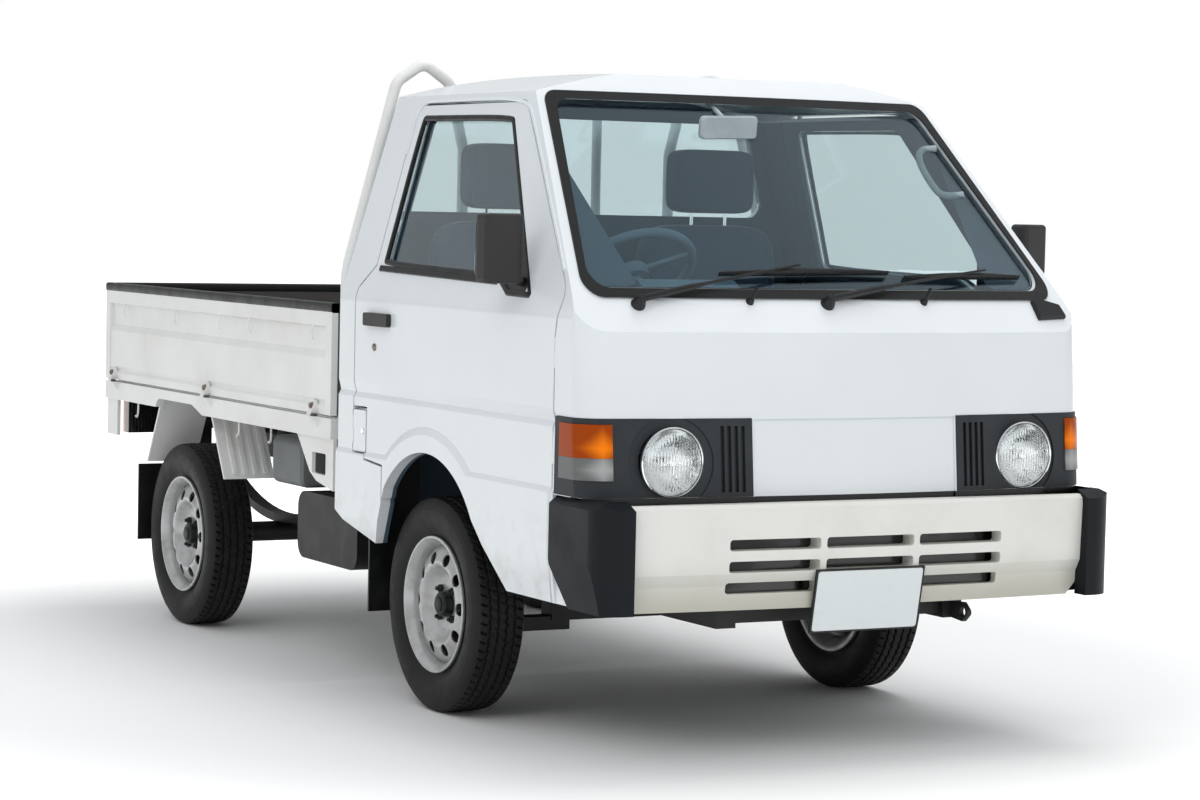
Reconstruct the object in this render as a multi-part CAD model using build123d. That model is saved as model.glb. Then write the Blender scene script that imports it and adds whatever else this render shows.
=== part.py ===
"""Small cab-over flatbed truck with drop sides, built as its separate pieces.

Millimetres. X forward, Y to the left, Z up from the ground. The pieces are drawn from the
front axle's place on the ground, and save() moves them so that the origin is in the middle
of the truck's length.
"""
from build123d import *
from math import cos, radians, sin, tan
import os

# Overall
WHEELBASE = 2000
FRONT_OVERHANG = 1140
REAR_OVERHANG = 640
BODY_HALF = 795
TRACK = 1334
GROUND_TO_DECK = 800

# Wheels
TYRE_RADIUS = 308
TYRE_WIDTH = 165
RIM_SEAT_RADIUS = 178
RIM_FLANGE_RADIUS = 196
VENT_COUNT = 10
VENT_RADIUS = 19
VENT_CIRCLE = 134
HUB_RADIUS = 39
SPINDLE_RADIUS = 15
KINGPIN_HALF = 555
STRUT_RADIUS = 22
FIT = 0.4

# Cab form
CAB_BACK = -560
CAB_BOTTOM = 415
BELT_Z = 1165
EAVE_HALF = BODY_HALF - 158
ROOF_Z = 1850
EAVE_Z = ROOF_Z - 85
ROOF_DROP = 34
BOW_RADIUS = 4500
NOSE_X = 1075
NOSE_Z = 680
CREASE_X = 1035
CREASE_Z = 1131
SCREEN_BASE_X = 958
SCREEN_BASE_Z = 1222
SCREEN_RAKE = 45.6
NOSE_CORNER = 95
STEP_Z = 705
STEP_OUT = 7
SILL_Z = 525
SILL_TUCK = 14
WALL_SIDE = 38
WALL_FRONT = 45
WALL_TOP = 32
WALL_BACK = 35
ROOF_SPLIT = ROOF_Z - 115
DOOR_GAP = 7
GLASS_DEPTH = 14
GLASS_THICK = 5
PANEL_BACK = 846
SEAT_FLOOR_Z = 765
FOOT_FLOOR_Z = 460
FLOOR_THICK = 30
ARCH_LIP_Z = 747

# Frame
RAIL_INNER = 330
RAIL_WIDTH = 60
RAIL_HEIGHT = 80
RAIL_FRONT_Z = 350
RAIL_REAR_Z = 560

# Load bed
BED_FRONT = -612
BED_HALF = 797
DECK_THICK = 30
SKIRT_HEIGHT = 65
GATE_THICK = 28
GATE_TOP = 1143
GATE_GAP = 6
GATE_PIN_OUT = 14
GUARD_TUBE = 17
GUARD_TOP = 1876

AXLE_Z = TYRE_RADIUS
REAR_AXLE = -WHEELBASE
REAR_END = REAR_AXLE - REAR_OVERHANG
SHIFT = (FRONT_OVERHANG + REAR_END) / -2
SIDES = (("right", -1), ("left", 1))
PAST_FRONT = FRONT_OVERHANG + 60
PAST_SIDE = BODY_HALF + 105
PAST_TOP = ROOF_Z + 150
UNDER = 300


def save(name, *solids):
    """Write one node, moved to the origin in the middle of the length."""
    moved = [Pos(SHIFT, 0, 0) * solid for solid in solids]
    shape = moved[0] if len(moved) == 1 else Compound(children=moved)
    os.makedirs("parts", exist_ok=True)
    export_step(shape, f"parts/{name}.step")


def outline(*rows):
    """Closed outline from corners of (a, b) or (a, b, corner radius)."""
    sketch = Polygon(*[row[:2] for row in rows], align=None)
    for row in rows:
        if len(row) == 3:
            corner = sketch.vertices().sort_by_distance((row[0], row[1], 0))[0]
            sketch = fillet(corner, row[2])
    return sketch


def along_x(sketch, x0, x1):
    """Extrude a (y, z) outline from x0 to x1."""
    return extrude(Plane.YZ.offset(x0) * sketch, x1 - x0, dir=(1, 0, 0))


def along_y(sketch, y0, y1):
    """Extrude an (x, z) outline from y0 to y1."""
    return extrude(Plane.XZ.offset(-y0) * sketch, y1 - y0, dir=(0, 1, 0))


def along_z(sketch, z0, z1):
    """Extrude an (x, y) outline from z0 to z1."""
    return extrude(Plane.XY.offset(z0) * sketch, z1 - z0, dir=(0, 0, 1))


def block(x0, x1, y0, y1, z0, z1):
    """Plain block between two corners."""
    return Pos((x0 + x1) / 2, (y0 + y1) / 2, (z0 + z1) / 2) * Box(x1 - x0, y1 - y0, z1 - z0)


def span(side, y_in, y_out):
    """Lower and upper y of a range given outwards from the middle on one side."""
    return (y_in, y_out) if side > 0 else (-y_out, -y_in)


def rod(start, end, radius):
    """Round bar from one point to another."""
    axis = Vector(*end) - Vector(*start)
    return extrude(Plane(origin=start, z_dir=axis) * Circle(radius), axis.length)


def mirrored(shape):
    return mirror(shape, about=Plane.XZ)


def bowed(front_x, level, lean, half, corner):
    """Space behind a bowed front that passes front_x at height level and leans back.

    lean is the angle of the front from the ground in degrees.
    """
    foot = front_x + (level - UNDER) / tan(radians(lean))
    plan = Pos((foot - WHEELBASE) / 2, 0) * Rectangle(foot + WHEELBASE, 2 * half)
    plan &= Pos(foot - BOW_RADIUS, 0) * Circle(BOW_RADIUS)
    if corner:
        plan = fillet(plan.vertices().group_by(Axis.X)[-1], corner)
    way = Vector(-cos(radians(lean)), 0, sin(radians(lean)))
    return extrude(Plane.XY.offset(UNDER) * plan, (PAST_TOP - UNDER) / way.Z, dir=way)


NOSE_LEAN = 90 - 5.07
COWL_LEAN = 49.8


def nose_form(inset):
    """Space behind the nose's outer face, set inwards by inset."""
    return bowed(NOSE_X - inset, NOSE_Z, NOSE_LEAN, BODY_HALF + STEP_OUT - inset,
                 max(NOSE_CORNER - inset, 20))


def screen_form(inset):
    """Space behind the windscreen's outer face, set inwards by inset."""
    back = inset / sin(radians(SCREEN_RAKE))
    return bowed(SCREEN_BASE_X - back, SCREEN_BASE_Z, SCREEN_RAKE, PAST_SIDE, 0)


def cab_form(side, front, top, back, low):
    """Cab body set inwards by the four insets, down to the height low."""
    half, eave = BODY_HALF - side, EAVE_HALF - side
    sill = half + STEP_OUT
    foot = sill - SILL_TUCK * (SILL_Z - low) / (SILL_Z - CAB_BOTTOM)
    wall = outline((-foot, low), (foot, low), (sill, SILL_Z), (sill, STEP_Z), (half, STEP_Z + 14),
                   (half, BELT_Z, 60), (eave, EAVE_Z - top), (eave, PAST_TOP), (-eave, PAST_TOP),
                   (-eave, EAVE_Z - top), (-half, BELT_Z, 60), (-half, STEP_Z + 14), (-sill, STEP_Z),
                   (-sill, SILL_Z))
    crown = ((eave ** 2) + (ROOF_Z - EAVE_Z) ** 2) / (2 * (ROOF_Z - EAVE_Z))
    sides = along_x(wall, CAB_BACK - 50, NOSE_X + 60)
    sides &= Pos(0, 0, ROOF_Z - top - crown) * Rot(0, 90, 0) * Cylinder(crown, 2 * WHEELBASE)
    profile = outline((CAB_BACK + back, low), (CAB_BACK + back, BELT_Z),
                      (CAB_BACK + 55 + back, ROOF_Z - top, 70),
                      (500, ROOF_Z - ROOF_DROP - top), (NOSE_X + 60, ROOF_Z - ROOF_DROP - top),
                      (NOSE_X + 60, low))
    form = sides & along_y(profile, -BODY_HALF - 60, BODY_HALF + 60)
    cowl = bowed(CREASE_X - front / sin(radians(COWL_LEAN)), CREASE_Z, COWL_LEAN, PAST_SIDE, 0)
    return form & nose_form(front) & cowl & screen_form(front)


# Side view of the door: x, z from the front axle, corner radius
DOOR_FRONT = 824
pillar_x = SCREEN_BASE_X - (ROOF_SPLIT - SCREEN_BASE_Z) / tan(radians(SCREEN_RAKE))
DOOR_ROWS = ((DOOR_FRONT, UNDER), (DOOR_FRONT, 1110), (850, 1233, 60), (pillar_x - 110, ROOF_SPLIT, 50),
             (-350, ROOF_SPLIT, 30), (-356, 1265), (-445, 1195, 20), (-445, 850), (-352, 850), (-352, 700),
             (-225, 690), (-225, UNDER))
WINDOW_ROWS = ((-305, 1272, 20), (440, 1258), (520, 1215, 30), (655, 1213, 25),
               (pillar_x - 171, ROOF_SPLIT - 42, 40),
               (-297, ROOF_SPLIT - 37, 25))
LID_ROWS = ((-449, 716, 8), (-361, 716, 8), (-361, 838, 8), (-449, 838, 8))


def arch_sketch():
    """Front wheel arch in side view: upright rear edge, round top, raked front edge."""
    rear, front = (-212, 625), (366, 588)
    top = ThreePointArc(rear, (46, ARCH_LIP_Z), front)
    rest = Polyline(front, (564, CAB_BOTTOM), (660, 330), (-330, 330), rear)
    return make_face([top, rest])


outer = cab_form(0, 0, 0, 0, CAB_BOTTOM)
outer -= along_y(outline((CAB_BACK - 60, UNDER), (-262, UNDER), (-262, 452), (-505, 505),
                         (CAB_BACK - 60, 560)),
                 -BODY_HALF - 60, BODY_HALF + 60)
inner = cab_form(WALL_SIDE, WALL_FRONT, WALL_TOP, WALL_BACK, UNDER)
shell = outer - inner

# Flare over the front wheel, proud of the side by the step and faded out at its rim
FLARE_WIDTH, FLARE_FADE = 76, 26
for name, side in SIDES:
    rims = [Plane.XZ.offset(-side * y) * offset(arch_sketch(), grow, kind=Kind.INTERSECTION)
            for y, grow in ((BODY_HALF - 1, FLARE_WIDTH), (BODY_HALF + STEP_OUT, FLARE_WIDTH - FLARE_FADE))]
    shell += loft(rims) & block(CAB_BACK, DOOR_FRONT - 60, -PAST_SIDE, PAST_SIDE, STEP_Z - 40, BELT_Z)
shell -= along_y(arch_sketch(), -BODY_HALF - 60, BODY_HALF + 60)

# Pressed line along the sides at the height of the lamps' tops
WAIST_ROWS = ((1, 927), (-8, 891), (1, 874))
waist = along_x(Polygon(*[(BODY_HALF + out, z) for out, z in WAIST_ROWS], align=None), CAB_BACK - 60,
                PANEL_BACK)
shell -= waist + mirrored(waist)

# Rolled panel edges on both sides of the door's front seam, which let the door swing out
DOOR_AXIS_X = DOOR_FRONT + DOOR_GAP / 2
DOOR_AXIS_Y = BODY_HALF - 4
EDGE_ROLL = 12
edge_groove = along_z(Polygon((DOOR_AXIS_X, DOOR_AXIS_Y - 1), (DOOR_AXIS_X + EDGE_ROLL,
                                                            BODY_HALF + STEP_OUT + 1),
                              (DOOR_AXIS_X - EDGE_ROLL, BODY_HALF + STEP_OUT + 1), align=None),
                              CAB_BOTTOM - 10, 1110)
shell -= edge_groove + mirrored(edge_groove)

door_sketch = outline(*DOOR_ROWS)
window_sketch = outline(*WINDOW_ROWS)
hole_sketch = offset(door_sketch, DOOR_GAP, kind=Kind.INTERSECTION)
lid_sketch = outline(*LID_ROWS)

# Doors and their glass
glass_section = Polygon((BODY_HALF - GLASS_DEPTH, BELT_Z), (EAVE_HALF - GLASS_DEPTH, EAVE_Z),
                        (EAVE_HALF - GLASS_DEPTH - GLASS_THICK, EAVE_Z),
                        (BODY_HALF - GLASS_DEPTH - GLASS_THICK, BELT_Z), align=None)
glass_sketch = offset(window_sketch, -FIT)
HINGE_Z = (780, 1030)
HINGE_RADIUS = 2.9
HINGE_LENGTH = 40


def hinge_barrel(x, y, z, radius, reach):
    """Upright hinge barrel from z up, with a web that reaches along x to what carries it."""
    web = block(min(x, x + reach), max(x, x + reach), y - radius, y + radius, z, z + HINGE_LENGTH)
    return Pos(x, y, z + HINGE_LENGTH / 2) * Cylinder(radius, HINGE_LENGTH) + web


for name, side in SIDES:
    y0, y1 = span(side, EAVE_HALF - 77, BODY_HALF + 60)
    door = shell & along_y(door_sketch, y0, y1)
    door -= along_y(window_sketch, y0, y1)
    for z in HINGE_Z:
        door += hinge_barrel(DOOR_AXIS_X, side * DOOR_AXIS_Y, z, HINGE_RADIUS, -DOOR_GAP)
    save(f"door_{name}", door)
    pane = along_x(glass_section, CAB_BACK, PAST_FRONT) & along_y(glass_sketch, EAVE_HALF - 77, PAST_SIDE)
    save(f"door_glass_{name}", pane if side > 0 else mirrored(pane))

body = shell
for name, side in SIDES:
    body -= along_y(hole_sketch, *span(side, EAVE_HALF - 77, BODY_HALF + 60))

# Roof
roof = body & block(CAB_BACK - 60, PAST_FRONT, -PAST_SIDE, PAST_SIDE, ROOF_SPLIT, PAST_TOP)
lower = body & block(CAB_BACK - 60, PAST_FRONT, -PAST_SIDE, PAST_SIDE, UNDER, ROOF_SPLIT)

# Windscreen opening in front view: half width and height, bottom then top
SCREEN_ROWS = ((BODY_HALF - 67, 1242), (EAVE_HALF - 45, ROOF_Z - 105))
SEAL_WIDTH = 24
SEAL_PROUD = 5


def screen_sketch(grow):
    (low_half, low_z), (top_half, top_z) = SCREEN_ROWS
    return outline((-low_half - grow, low_z - grow, 45), (low_half + grow, low_z - grow, 45),
                   (top_half + grow, top_z + grow, 45), (-top_half - grow, top_z + grow, 45))


FRONT_START = pillar_x - 255
opening = along_x(screen_sketch(0), FRONT_START, PAST_FRONT)
roof -= opening
save("cab_roof", roof)
front = lower & block(FRONT_START, PAST_FRONT, -PAST_SIDE, PAST_SIDE, UNDER, ROOF_SPLIT)
front -= opening
for name, side in SIDES:
    for z in HINGE_Z:
        front += hinge_barrel(DOOR_AXIS_X, side * DOOR_AXIS_Y, z + HINGE_LENGTH + FIT, HINGE_RADIUS,
                              DOOR_GAP)
screen_layer = screen_form(10) - screen_form(10 + GLASS_THICK)
save("windscreen", along_x(screen_sketch(-FIT), FRONT_START, PAST_FRONT) & screen_layer)
seal_ring = along_x(screen_sketch(SEAL_WIDTH) - screen_sketch(0), FRONT_START, PAST_FRONT)
seal = seal_ring & (screen_form(-SEAL_PROUD) - screen_form(0))
save("windscreen_rubber", seal)

# Back wall and side panels
rear = lower & block(CAB_BACK - 60, FRONT_START, -PAST_SIDE, PAST_SIDE, UNDER, ROOF_SPLIT)
back_plane = CAB_BACK + WALL_BACK
ahead_of_back = along_y(Polygon((back_plane, UNDER), (back_plane, BELT_Z),
                                (back_plane + 55, ROOF_Z - WALL_TOP),
                                (FRONT_START, ROOF_Z - WALL_TOP), (FRONT_START, UNDER), align=None),
                        -PAST_SIDE, PAST_SIDE)
back = rear - ahead_of_back
low_half, top_half, low_z, top_z = BODY_HALF - 155, EAVE_HALF - 77, ROOF_Z - 425, ROOF_Z - 135
rear_window = outline((-low_half, low_z, 40), (low_half, low_z, 40), (top_half, top_z, 60),
                      (-top_half, top_z, 60))
save("cab_back", back - along_x(rear_window, CAB_BACK - 60, CAB_BACK + 160))
rear_pane = along_x(offset(rear_window, -FIT), CAB_BACK - 60, CAB_BACK + 160)
pane_lean = along_y(Polygon((CAB_BACK + 12, BELT_Z), (CAB_BACK + 67, ROOF_Z), (CAB_BACK + 72, ROOF_Z),
                            (CAB_BACK + 17, BELT_Z), align=None), -BODY_HALF, BODY_HALF)
save("rear_glass", rear_pane & pane_lean)
LID_THICK = 12
LID_GAP = 6
LID_BARREL = 2
LID_HINGE_Z = 740
LID_AXIS_X = LID_ROWS[0][0] - LID_GAP / 2
LID_AXIS_Y = -BODY_HALF + 0.5
for name, side in SIDES:
    y0, y1 = span(side, EAVE_HALF / 2, PAST_SIDE)
    panel = rear & ahead_of_back & block(CAB_BACK, FRONT_START, y0, y1, UNDER, ROOF_SPLIT)
    if side < 0:
        pocket = along_y(offset(lid_sketch, LID_GAP), -BODY_HALF - 60, -BODY_HALF + LID_THICK + 6)
        panel -= pocket
        lid = outer & along_y(lid_sketch, -BODY_HALF - 60, -BODY_HALF + LID_THICK)
        lid += hinge_barrel(LID_AXIS_X, LID_AXIS_Y, LID_HINGE_Z, LID_BARREL, LID_GAP)
        save("fuel_lid", lid)
        panel += hinge_barrel(LID_AXIS_X, LID_AXIS_Y, LID_HINGE_Z + HINGE_LENGTH + FIT, LID_BARREL,
                              -LID_GAP)
    save(f"cab_side_{name}", panel)

# Floor: foot well, wheel-house step and seat platform
floor_top = ((1060, FOOT_FLOOR_Z), (606, FOOT_FLOOR_Z), (424, 617), (424, SEAT_FLOOR_Z),
             (back_plane, SEAT_FLOOR_Z))
floor_under = ((back_plane, SEAT_FLOOR_Z - FLOOR_THICK), (394, SEAT_FLOOR_Z - FLOOR_THICK), (394, 604),
               (594, FOOT_FLOOR_Z - FLOOR_THICK), (1060, FOOT_FLOOR_Z - FLOOR_THICK))
floor = along_y(outline(*floor_top, *floor_under), -BODY_HALF, BODY_HALF)
floor &= cab_form(WALL_SIDE + 8, WALL_FRONT, WALL_TOP, WALL_BACK, UNDER)
save("cab_floor", floor)

# Lamp panels, lamps
PANEL_INNER = BODY_HALF - 472
PANEL_LOW, PANEL_HIGH = 705, 907
PANEL_PROUD, PANEL_DEPTH = 3, 12
LAMP_Y, LAMP_Z, LAMP_RADIUS = BODY_HALF - 240, 795, 89
TURN_INNER = BODY_HALF - 79
TURN_BACK = PANEL_BACK + 28
RING_RADIUS, RING_DEPTH = 119, 4
CENTRE_SINK = 5
front -= (nose_form(-20) - nose_form(CENTRE_SINK)) & block(
    PANEL_BACK, PAST_FRONT, 6 - PANEL_INNER, PANEL_INNER - 6, PANEL_LOW - 30, PANEL_HIGH - 2)
panel_layer = nose_form(-PANEL_PROUD) - nose_form(PANEL_DEPTH)
pocket_layer = nose_form(-60) - nose_form(PANEL_DEPTH + FIT)
lens_layer = nose_form(-PANEL_PROUD - 4) - nose_form(PANEL_DEPTH - 4)
panels, headlamps, ambers, clears = [], [], [], []
for name, side in SIDES:
    y0, y1 = span(side, PANEL_INNER, BODY_HALF + 4)
    zone = block(PANEL_BACK, PAST_FRONT, y0, y1, PANEL_LOW, PANEL_HIGH)
    grown = block(PANEL_BACK - 1, PAST_FRONT, y0 - 1 - PAST_SIDE * (side < 0),
                  y1 + 1 + PAST_SIDE * (side > 0),
                  PANEL_LOW - 1, PANEL_HIGH + 1)
    front -= pocket_layer & grown
    lamp_axis = Pos(0, side * LAMP_Y, LAMP_Z) * Rot(0, 90, 0)
    front -= lamp_axis * Pos(0, 0, NOSE_X) * Cylinder(LAMP_RADIUS + 3, 400)
    panel = panel_layer & zone
    panel -= (lamp_axis * Pos(0, 0, NOSE_X) * Cylinder(RING_RADIUS,
                                                       400)) - nose_form(RING_DEPTH - PANEL_PROUD)
    panel -= lamp_axis * Pos(0, 0, NOSE_X) * Cylinder(LAMP_RADIUS + FIT, 400)
    t0, t1 = span(side, TURN_INNER, PAST_SIDE)
    panel -= block(TURN_BACK, PAST_FRONT, t0, t1, 748, 893)
    for column in range(4):
        s0, s1 = span(side, PANEL_INNER + 22 + column * 20, PANEL_INNER + 33 + column * 20)
        panel -= block(PANEL_BACK + 150, PAST_FRONT, s0, s1, 716, 888) - nose_form(7)
    panels.append(panel)
    bowl = Polygon((0, 978), (52, 978), (LAMP_RADIUS, 1022), (LAMP_RADIUS, 1040), (60, 1050), (0, 1055),
                   align=None)
    headlamps.append(Pos(0, side * LAMP_Y, LAMP_Z) * Rot(0, 90, 0) * revolve(Plane.XZ * bowl, Axis.Z))
    f0, f1 = span(side, TURN_INNER + FIT, BODY_HALF + 7)
    ambers.append(lens_layer & block(TURN_BACK + FIT, PAST_FRONT, f0, f1, 806, 893 - FIT))
    clears.append(lens_layer & block(TURN_BACK + FIT, PAST_FRONT, f0, f1, 748 + FIT, 806 - FIT))
save("lamp_panels", *panels)
save("headlamps", *headlamps)
save("turn_lamps", *ambers)
save("side_lamps", *clears)

# Bumper with its slots, and its corner pieces
BUMPER_BACK = FRONT_OVERHANG - 58
BUMPER_HALF = BODY_HALF - 85
BUMPER_BOW = 8000
# Height and setback of the face, from the rounded top over the fold to the lip
BUMPER_ROWS = ((690, 12), (680, 2), (660, 0), (510, 6), (477, 24), (412, 29))
BUMPER_HIGH, BUMPER_LOW = BUMPER_ROWS[0][0], BUMPER_ROWS[-1][0]
FOLD_Z, FOLD_SET = BUMPER_ROWS[3]
SLOT_ROWS = (584, 527, 470)
SLOT_HEIGHT = 30
SLOT_COLUMNS = ((-427, -155), (-137, 137), (155, 427))


def bumper_form(inset):
    """Space behind the bumper's bowed face, set inwards by inset."""
    plan = Pos(FRONT_OVERHANG - inset - BUMPER_BOW, 0) * Circle(BUMPER_BOW)
    plan &= Pos(FRONT_OVERHANG - 500, 0) * Rectangle(1200, 2 * PAST_SIDE)
    form = None
    for (high, high_set), (low, low_set) in zip(BUMPER_ROWS, BUMPER_ROWS[1:]):
        way = Vector(low_set - high_set, 0, high - low)
        band = extrude(Plane.XY.offset(low) * Pos(-low_set, 0) * plan, way.length, dir=way.normalized())
        form = band if form is None else form + band
    return form


bumper = bumper_form(0) & block(BUMPER_BACK, PAST_FRONT, -BUMPER_HALF, BUMPER_HALF, BUMPER_LOW, BUMPER_HIGH)
for slot_z in SLOT_ROWS:
    for y0, y1 in SLOT_COLUMNS:
        slot = Pos((y0 + y1) / 2, slot_z) * RectangleRounded(y1 - y0, SLOT_HEIGHT, 9)
        bumper -= along_x(slot, BUMPER_BACK - 10, PAST_FRONT)
save("bumper", bumper)

CORNER_BACK = PANEL_BACK
CORNER_OUT = BODY_HALF + 17
CORNER_TOP = 702
CORNER_THICK = 26
corner_front = FRONT_OVERHANG - 8
corner_plan = outline((CORNER_BACK, CORNER_OUT - CORNER_THICK), (CORNER_BACK, CORNER_OUT),
                      (corner_front, CORNER_OUT, 75),
                      (corner_front, BUMPER_HALF + FIT), (BUMPER_BACK, BUMPER_HALF + FIT),
                      (BUMPER_BACK, CORNER_OUT - CORNER_THICK, 50))
corner_side = outline((CORNER_BACK, CORNER_TOP), (BUMPER_BACK, CORNER_TOP), (PAST_FRONT, 650),
                      (PAST_FRONT, BUMPER_LOW - 2),
                      (CORNER_BACK + 88, BUMPER_LOW - 2), (CORNER_BACK, 520))
corner_face = outline((BUMPER_HALF - 60, CORNER_TOP), (CORNER_OUT - 28, CORNER_TOP),
                      (CORNER_OUT, CORNER_TOP - 22),
                      (CORNER_OUT, 535), (CORNER_OUT - 16, BUMPER_LOW - 2),
                      (BUMPER_HALF - 60, BUMPER_LOW - 2))
corner = along_z(corner_plan, BUMPER_LOW, CORNER_TOP) & along_y(corner_side, 0, PAST_SIDE)
corner &= along_x(corner_face, CORNER_BACK, PAST_FRONT)
save("bumper_corners", corner, mirrored(corner))
corner_room = along_z(offset(corner_plan, FIT, kind=Kind.INTERSECTION), BUMPER_LOW - 20, CORNER_TOP + FIT)
front -= corner_room
front -= mirrored(corner_room)
front -= block(BUMPER_BACK - FIT, PAST_FRONT, -BUMPER_HALF - 20, BUMPER_HALF + 20, UNDER, BUMPER_HIGH + 1)
save("cab_front", front)

# Number plate on the bumper's lower slope
PLATE_WIDTH, PLATE_HEIGHT, PLATE_THICK, PLATE_Z = 339, 173, 8, 430
PLATE_TILT = 10.5
plate_x = FRONT_OVERHANG - FOLD_SET - (FOLD_Z - PLATE_Z) * tan(radians(PLATE_TILT))
plate = Box(PLATE_THICK, PLATE_WIDTH, PLATE_HEIGHT) - Pos(PLATE_THICK / 2, 0, 0) * Box(4, 330, 165)
plate = Rot(0, PLATE_TILT, 0) * Pos(PLATE_THICK / 2 + FIT, 0, 0) * plate
save("number_plate", Pos(plate_x, 0, PLATE_Z) * plate)

# Wipers: pivot on the cowl, arm and blade standing clear of the screen
WIPER_PIVOT, WIPER_ARM, WIPER_BLADE = 13, 6, 9
# y and z of the pivot, then x, y, z of the arm's end and of both ends of the blade
WIPER_ROWS = (((-611, 1199), (899, -97, 1307), (908, -335, 1286), (905, 184, 1293)),
              ((-53, 1203), (880, 522, 1299), (909, 241, 1280), (867, 650, 1283)))
wipers = []
for (y, z), arm_end, blade_start, blade_end in WIPER_ROWS:
    x = CREASE_X - (z - CREASE_Z) / tan(radians(COWL_LEAN)) - y * y / (2 * BOW_RADIUS)
    out = Vector(sin(radians(COWL_LEAN)), sin(radians(COWL_LEAN)) * y / BOW_RADIUS,
                 cos(radians(COWL_LEAN))).normalized()
    foot = Vector(x, y, z)
    knee = foot + out * 24
    wiper = rod(foot - out * 12, foot + out * 33, WIPER_PIVOT) + rod(knee, arm_end, WIPER_ARM)
    wiper += rod(blade_start, blade_end, WIPER_BLADE)
    cowl_skin = bowed(CREASE_X + FIT, CREASE_Z, COWL_LEAN, PAST_SIDE, 0)
    wipers.append(wiper - cowl_skin)
save("wipers", *wipers)

# Mirrors and handles, on the doors
foot_section = Polygon((BODY_HALF - 3, BELT_Z), (EAVE_HALF - 3, EAVE_Z),
                       (EAVE_HALF - GLASS_DEPTH + FIT, EAVE_Z),
                       (BODY_HALF - GLASS_DEPTH + FIT, BELT_Z), align=None)
foot_zone = glass_sketch & Polygon((470, 1150), (700, 1150), (700, 1400), (560, 1400), align=None)
mirror_foot = along_x(foot_section, FRONT_START, DOOR_FRONT) & along_y(foot_zone, EAVE_HALF - 77, PAST_SIDE)
# Plan of the mirror head, swept back outwards
MIRROR_ROWS = ((672, 6), (640, 112), (572, 122), (598, 8))
MIRROR_LOW, MIRROR_HIGH = BELT_Z + 78, BELT_Z + 262
for name, side in SIDES:
    head = along_z(outline(*[(x, BODY_HALF + out, 20) for x, out in MIRROR_ROWS]), MIRROR_LOW, MIRROR_HIGH)
    head = fillet(head.faces().filter_by(Axis.Z).edges(), 12)
    foot_y = BODY_HALF - GLASS_DEPTH / 2 - (1246 - BELT_Z) * (BODY_HALF - EAVE_HALF) / (EAVE_Z - BELT_Z)
    head += rod((625, BODY_HALF + 45, MIRROR_LOW + 18), (590, foot_y, 1246), 13)
    head += mirror_foot
    save(f"door_mirror_{name}", head if side > 0 else mirrored(head))
    handle = block(-360, -195, *span(side, BODY_HALF + FIT, BODY_HALF + 16), 1090, 1128)
    save(f"door_handle_{name}", fillet(handle.edges().filter_by(Axis.Y), 8))

# Dashboard and steering wheel
dash = along_y(outline((1000, 1190), (930, 1215), (640, 1190, 30), (600, 1020, 40), (720, 900, 30),
                       (1000, 860)),
               95 - BODY_HALF, BODY_HALF - 95)
# Hood over the instruments, ahead of the steering wheel
HOOD_HALF = 150
hood_y = 429 - BODY_HALF
dash += along_y(outline((645, 1170), (645, 1236, 18), (750, 1262, 40), (880, 1190)), hood_y - HOOD_HALF,
                hood_y + HOOD_HALF)
dash &= cab_form(WALL_SIDE, WALL_FRONT + FIT, WALL_TOP, WALL_BACK, UNDER)
WHEEL_CENTRE = (450, 429 - BODY_HALF, 1269)
WHEEL_RADIUS = 190
WHEEL_TILT = 40
wheel_frame = Plane(origin=WHEEL_CENTRE, x_dir=(0, 1, 0),
                    z_dir=(-sin(radians(WHEEL_TILT)), 0, cos(radians(WHEEL_TILT))))
ring = Torus(WHEEL_RADIUS - 13, 13)
spokes = Pos(0, 0, -12) * Cylinder(48, 34)
for turn in (90, 210, 330):
    spokes += Rot(0, 0, turn) * Pos((WHEEL_RADIUS - 13) / 2, 0, -4) * Box(WHEEL_RADIUS - 20, 26, 12)
save("steering_wheel", wheel_frame * (ring + spokes))
column = wheel_frame * Pos(0, 0, -29.4 - 130) * Cylinder(24, 260)
save("dashboard", dash + column)

# Seats
seat_y = BODY_HALF - 445
BACK_TOP = ROOF_Z - 450
cushions, backs, rests = [], [], []
for name, side in SIDES:
    cushion = Pos(-60, side * seat_y, SEAT_FLOOR_Z + 0.3 + 75) * Box(480, 470, 150)
    cushions.append(fillet(cushion.edges().filter_by(Axis.Y), 45))
    back_sketch = outline((-420, SEAT_FLOOR_Z + FIT, 10), (-302, SEAT_FLOOR_Z + FIT, 10), (-302, 920),
                          (-320, BACK_TOP, 40),
                          (-420, BACK_TOP, 40))
    backs.append(along_y(back_sketch, side * seat_y - 235, side * seat_y + 235))
    rest = along_y(outline((-400, BACK_TOP + 37, 30), (-300, BACK_TOP + 37, 30), (-315, BACK_TOP + 232, 35),
                           (-390, BACK_TOP + 232, 35)),
                   side * seat_y - 140, side * seat_y + 140)
    for stem in (-60, 60):
        rest += rod((-360, side * seat_y + stem, BACK_TOP + FIT),
                    (-355, side * seat_y + stem, BACK_TOP + 50), 6)
    rests.append(rest)
save("seat_cushions", *cushions)
save("seat_backs", *backs)
save("headrests", *rests)

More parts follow.
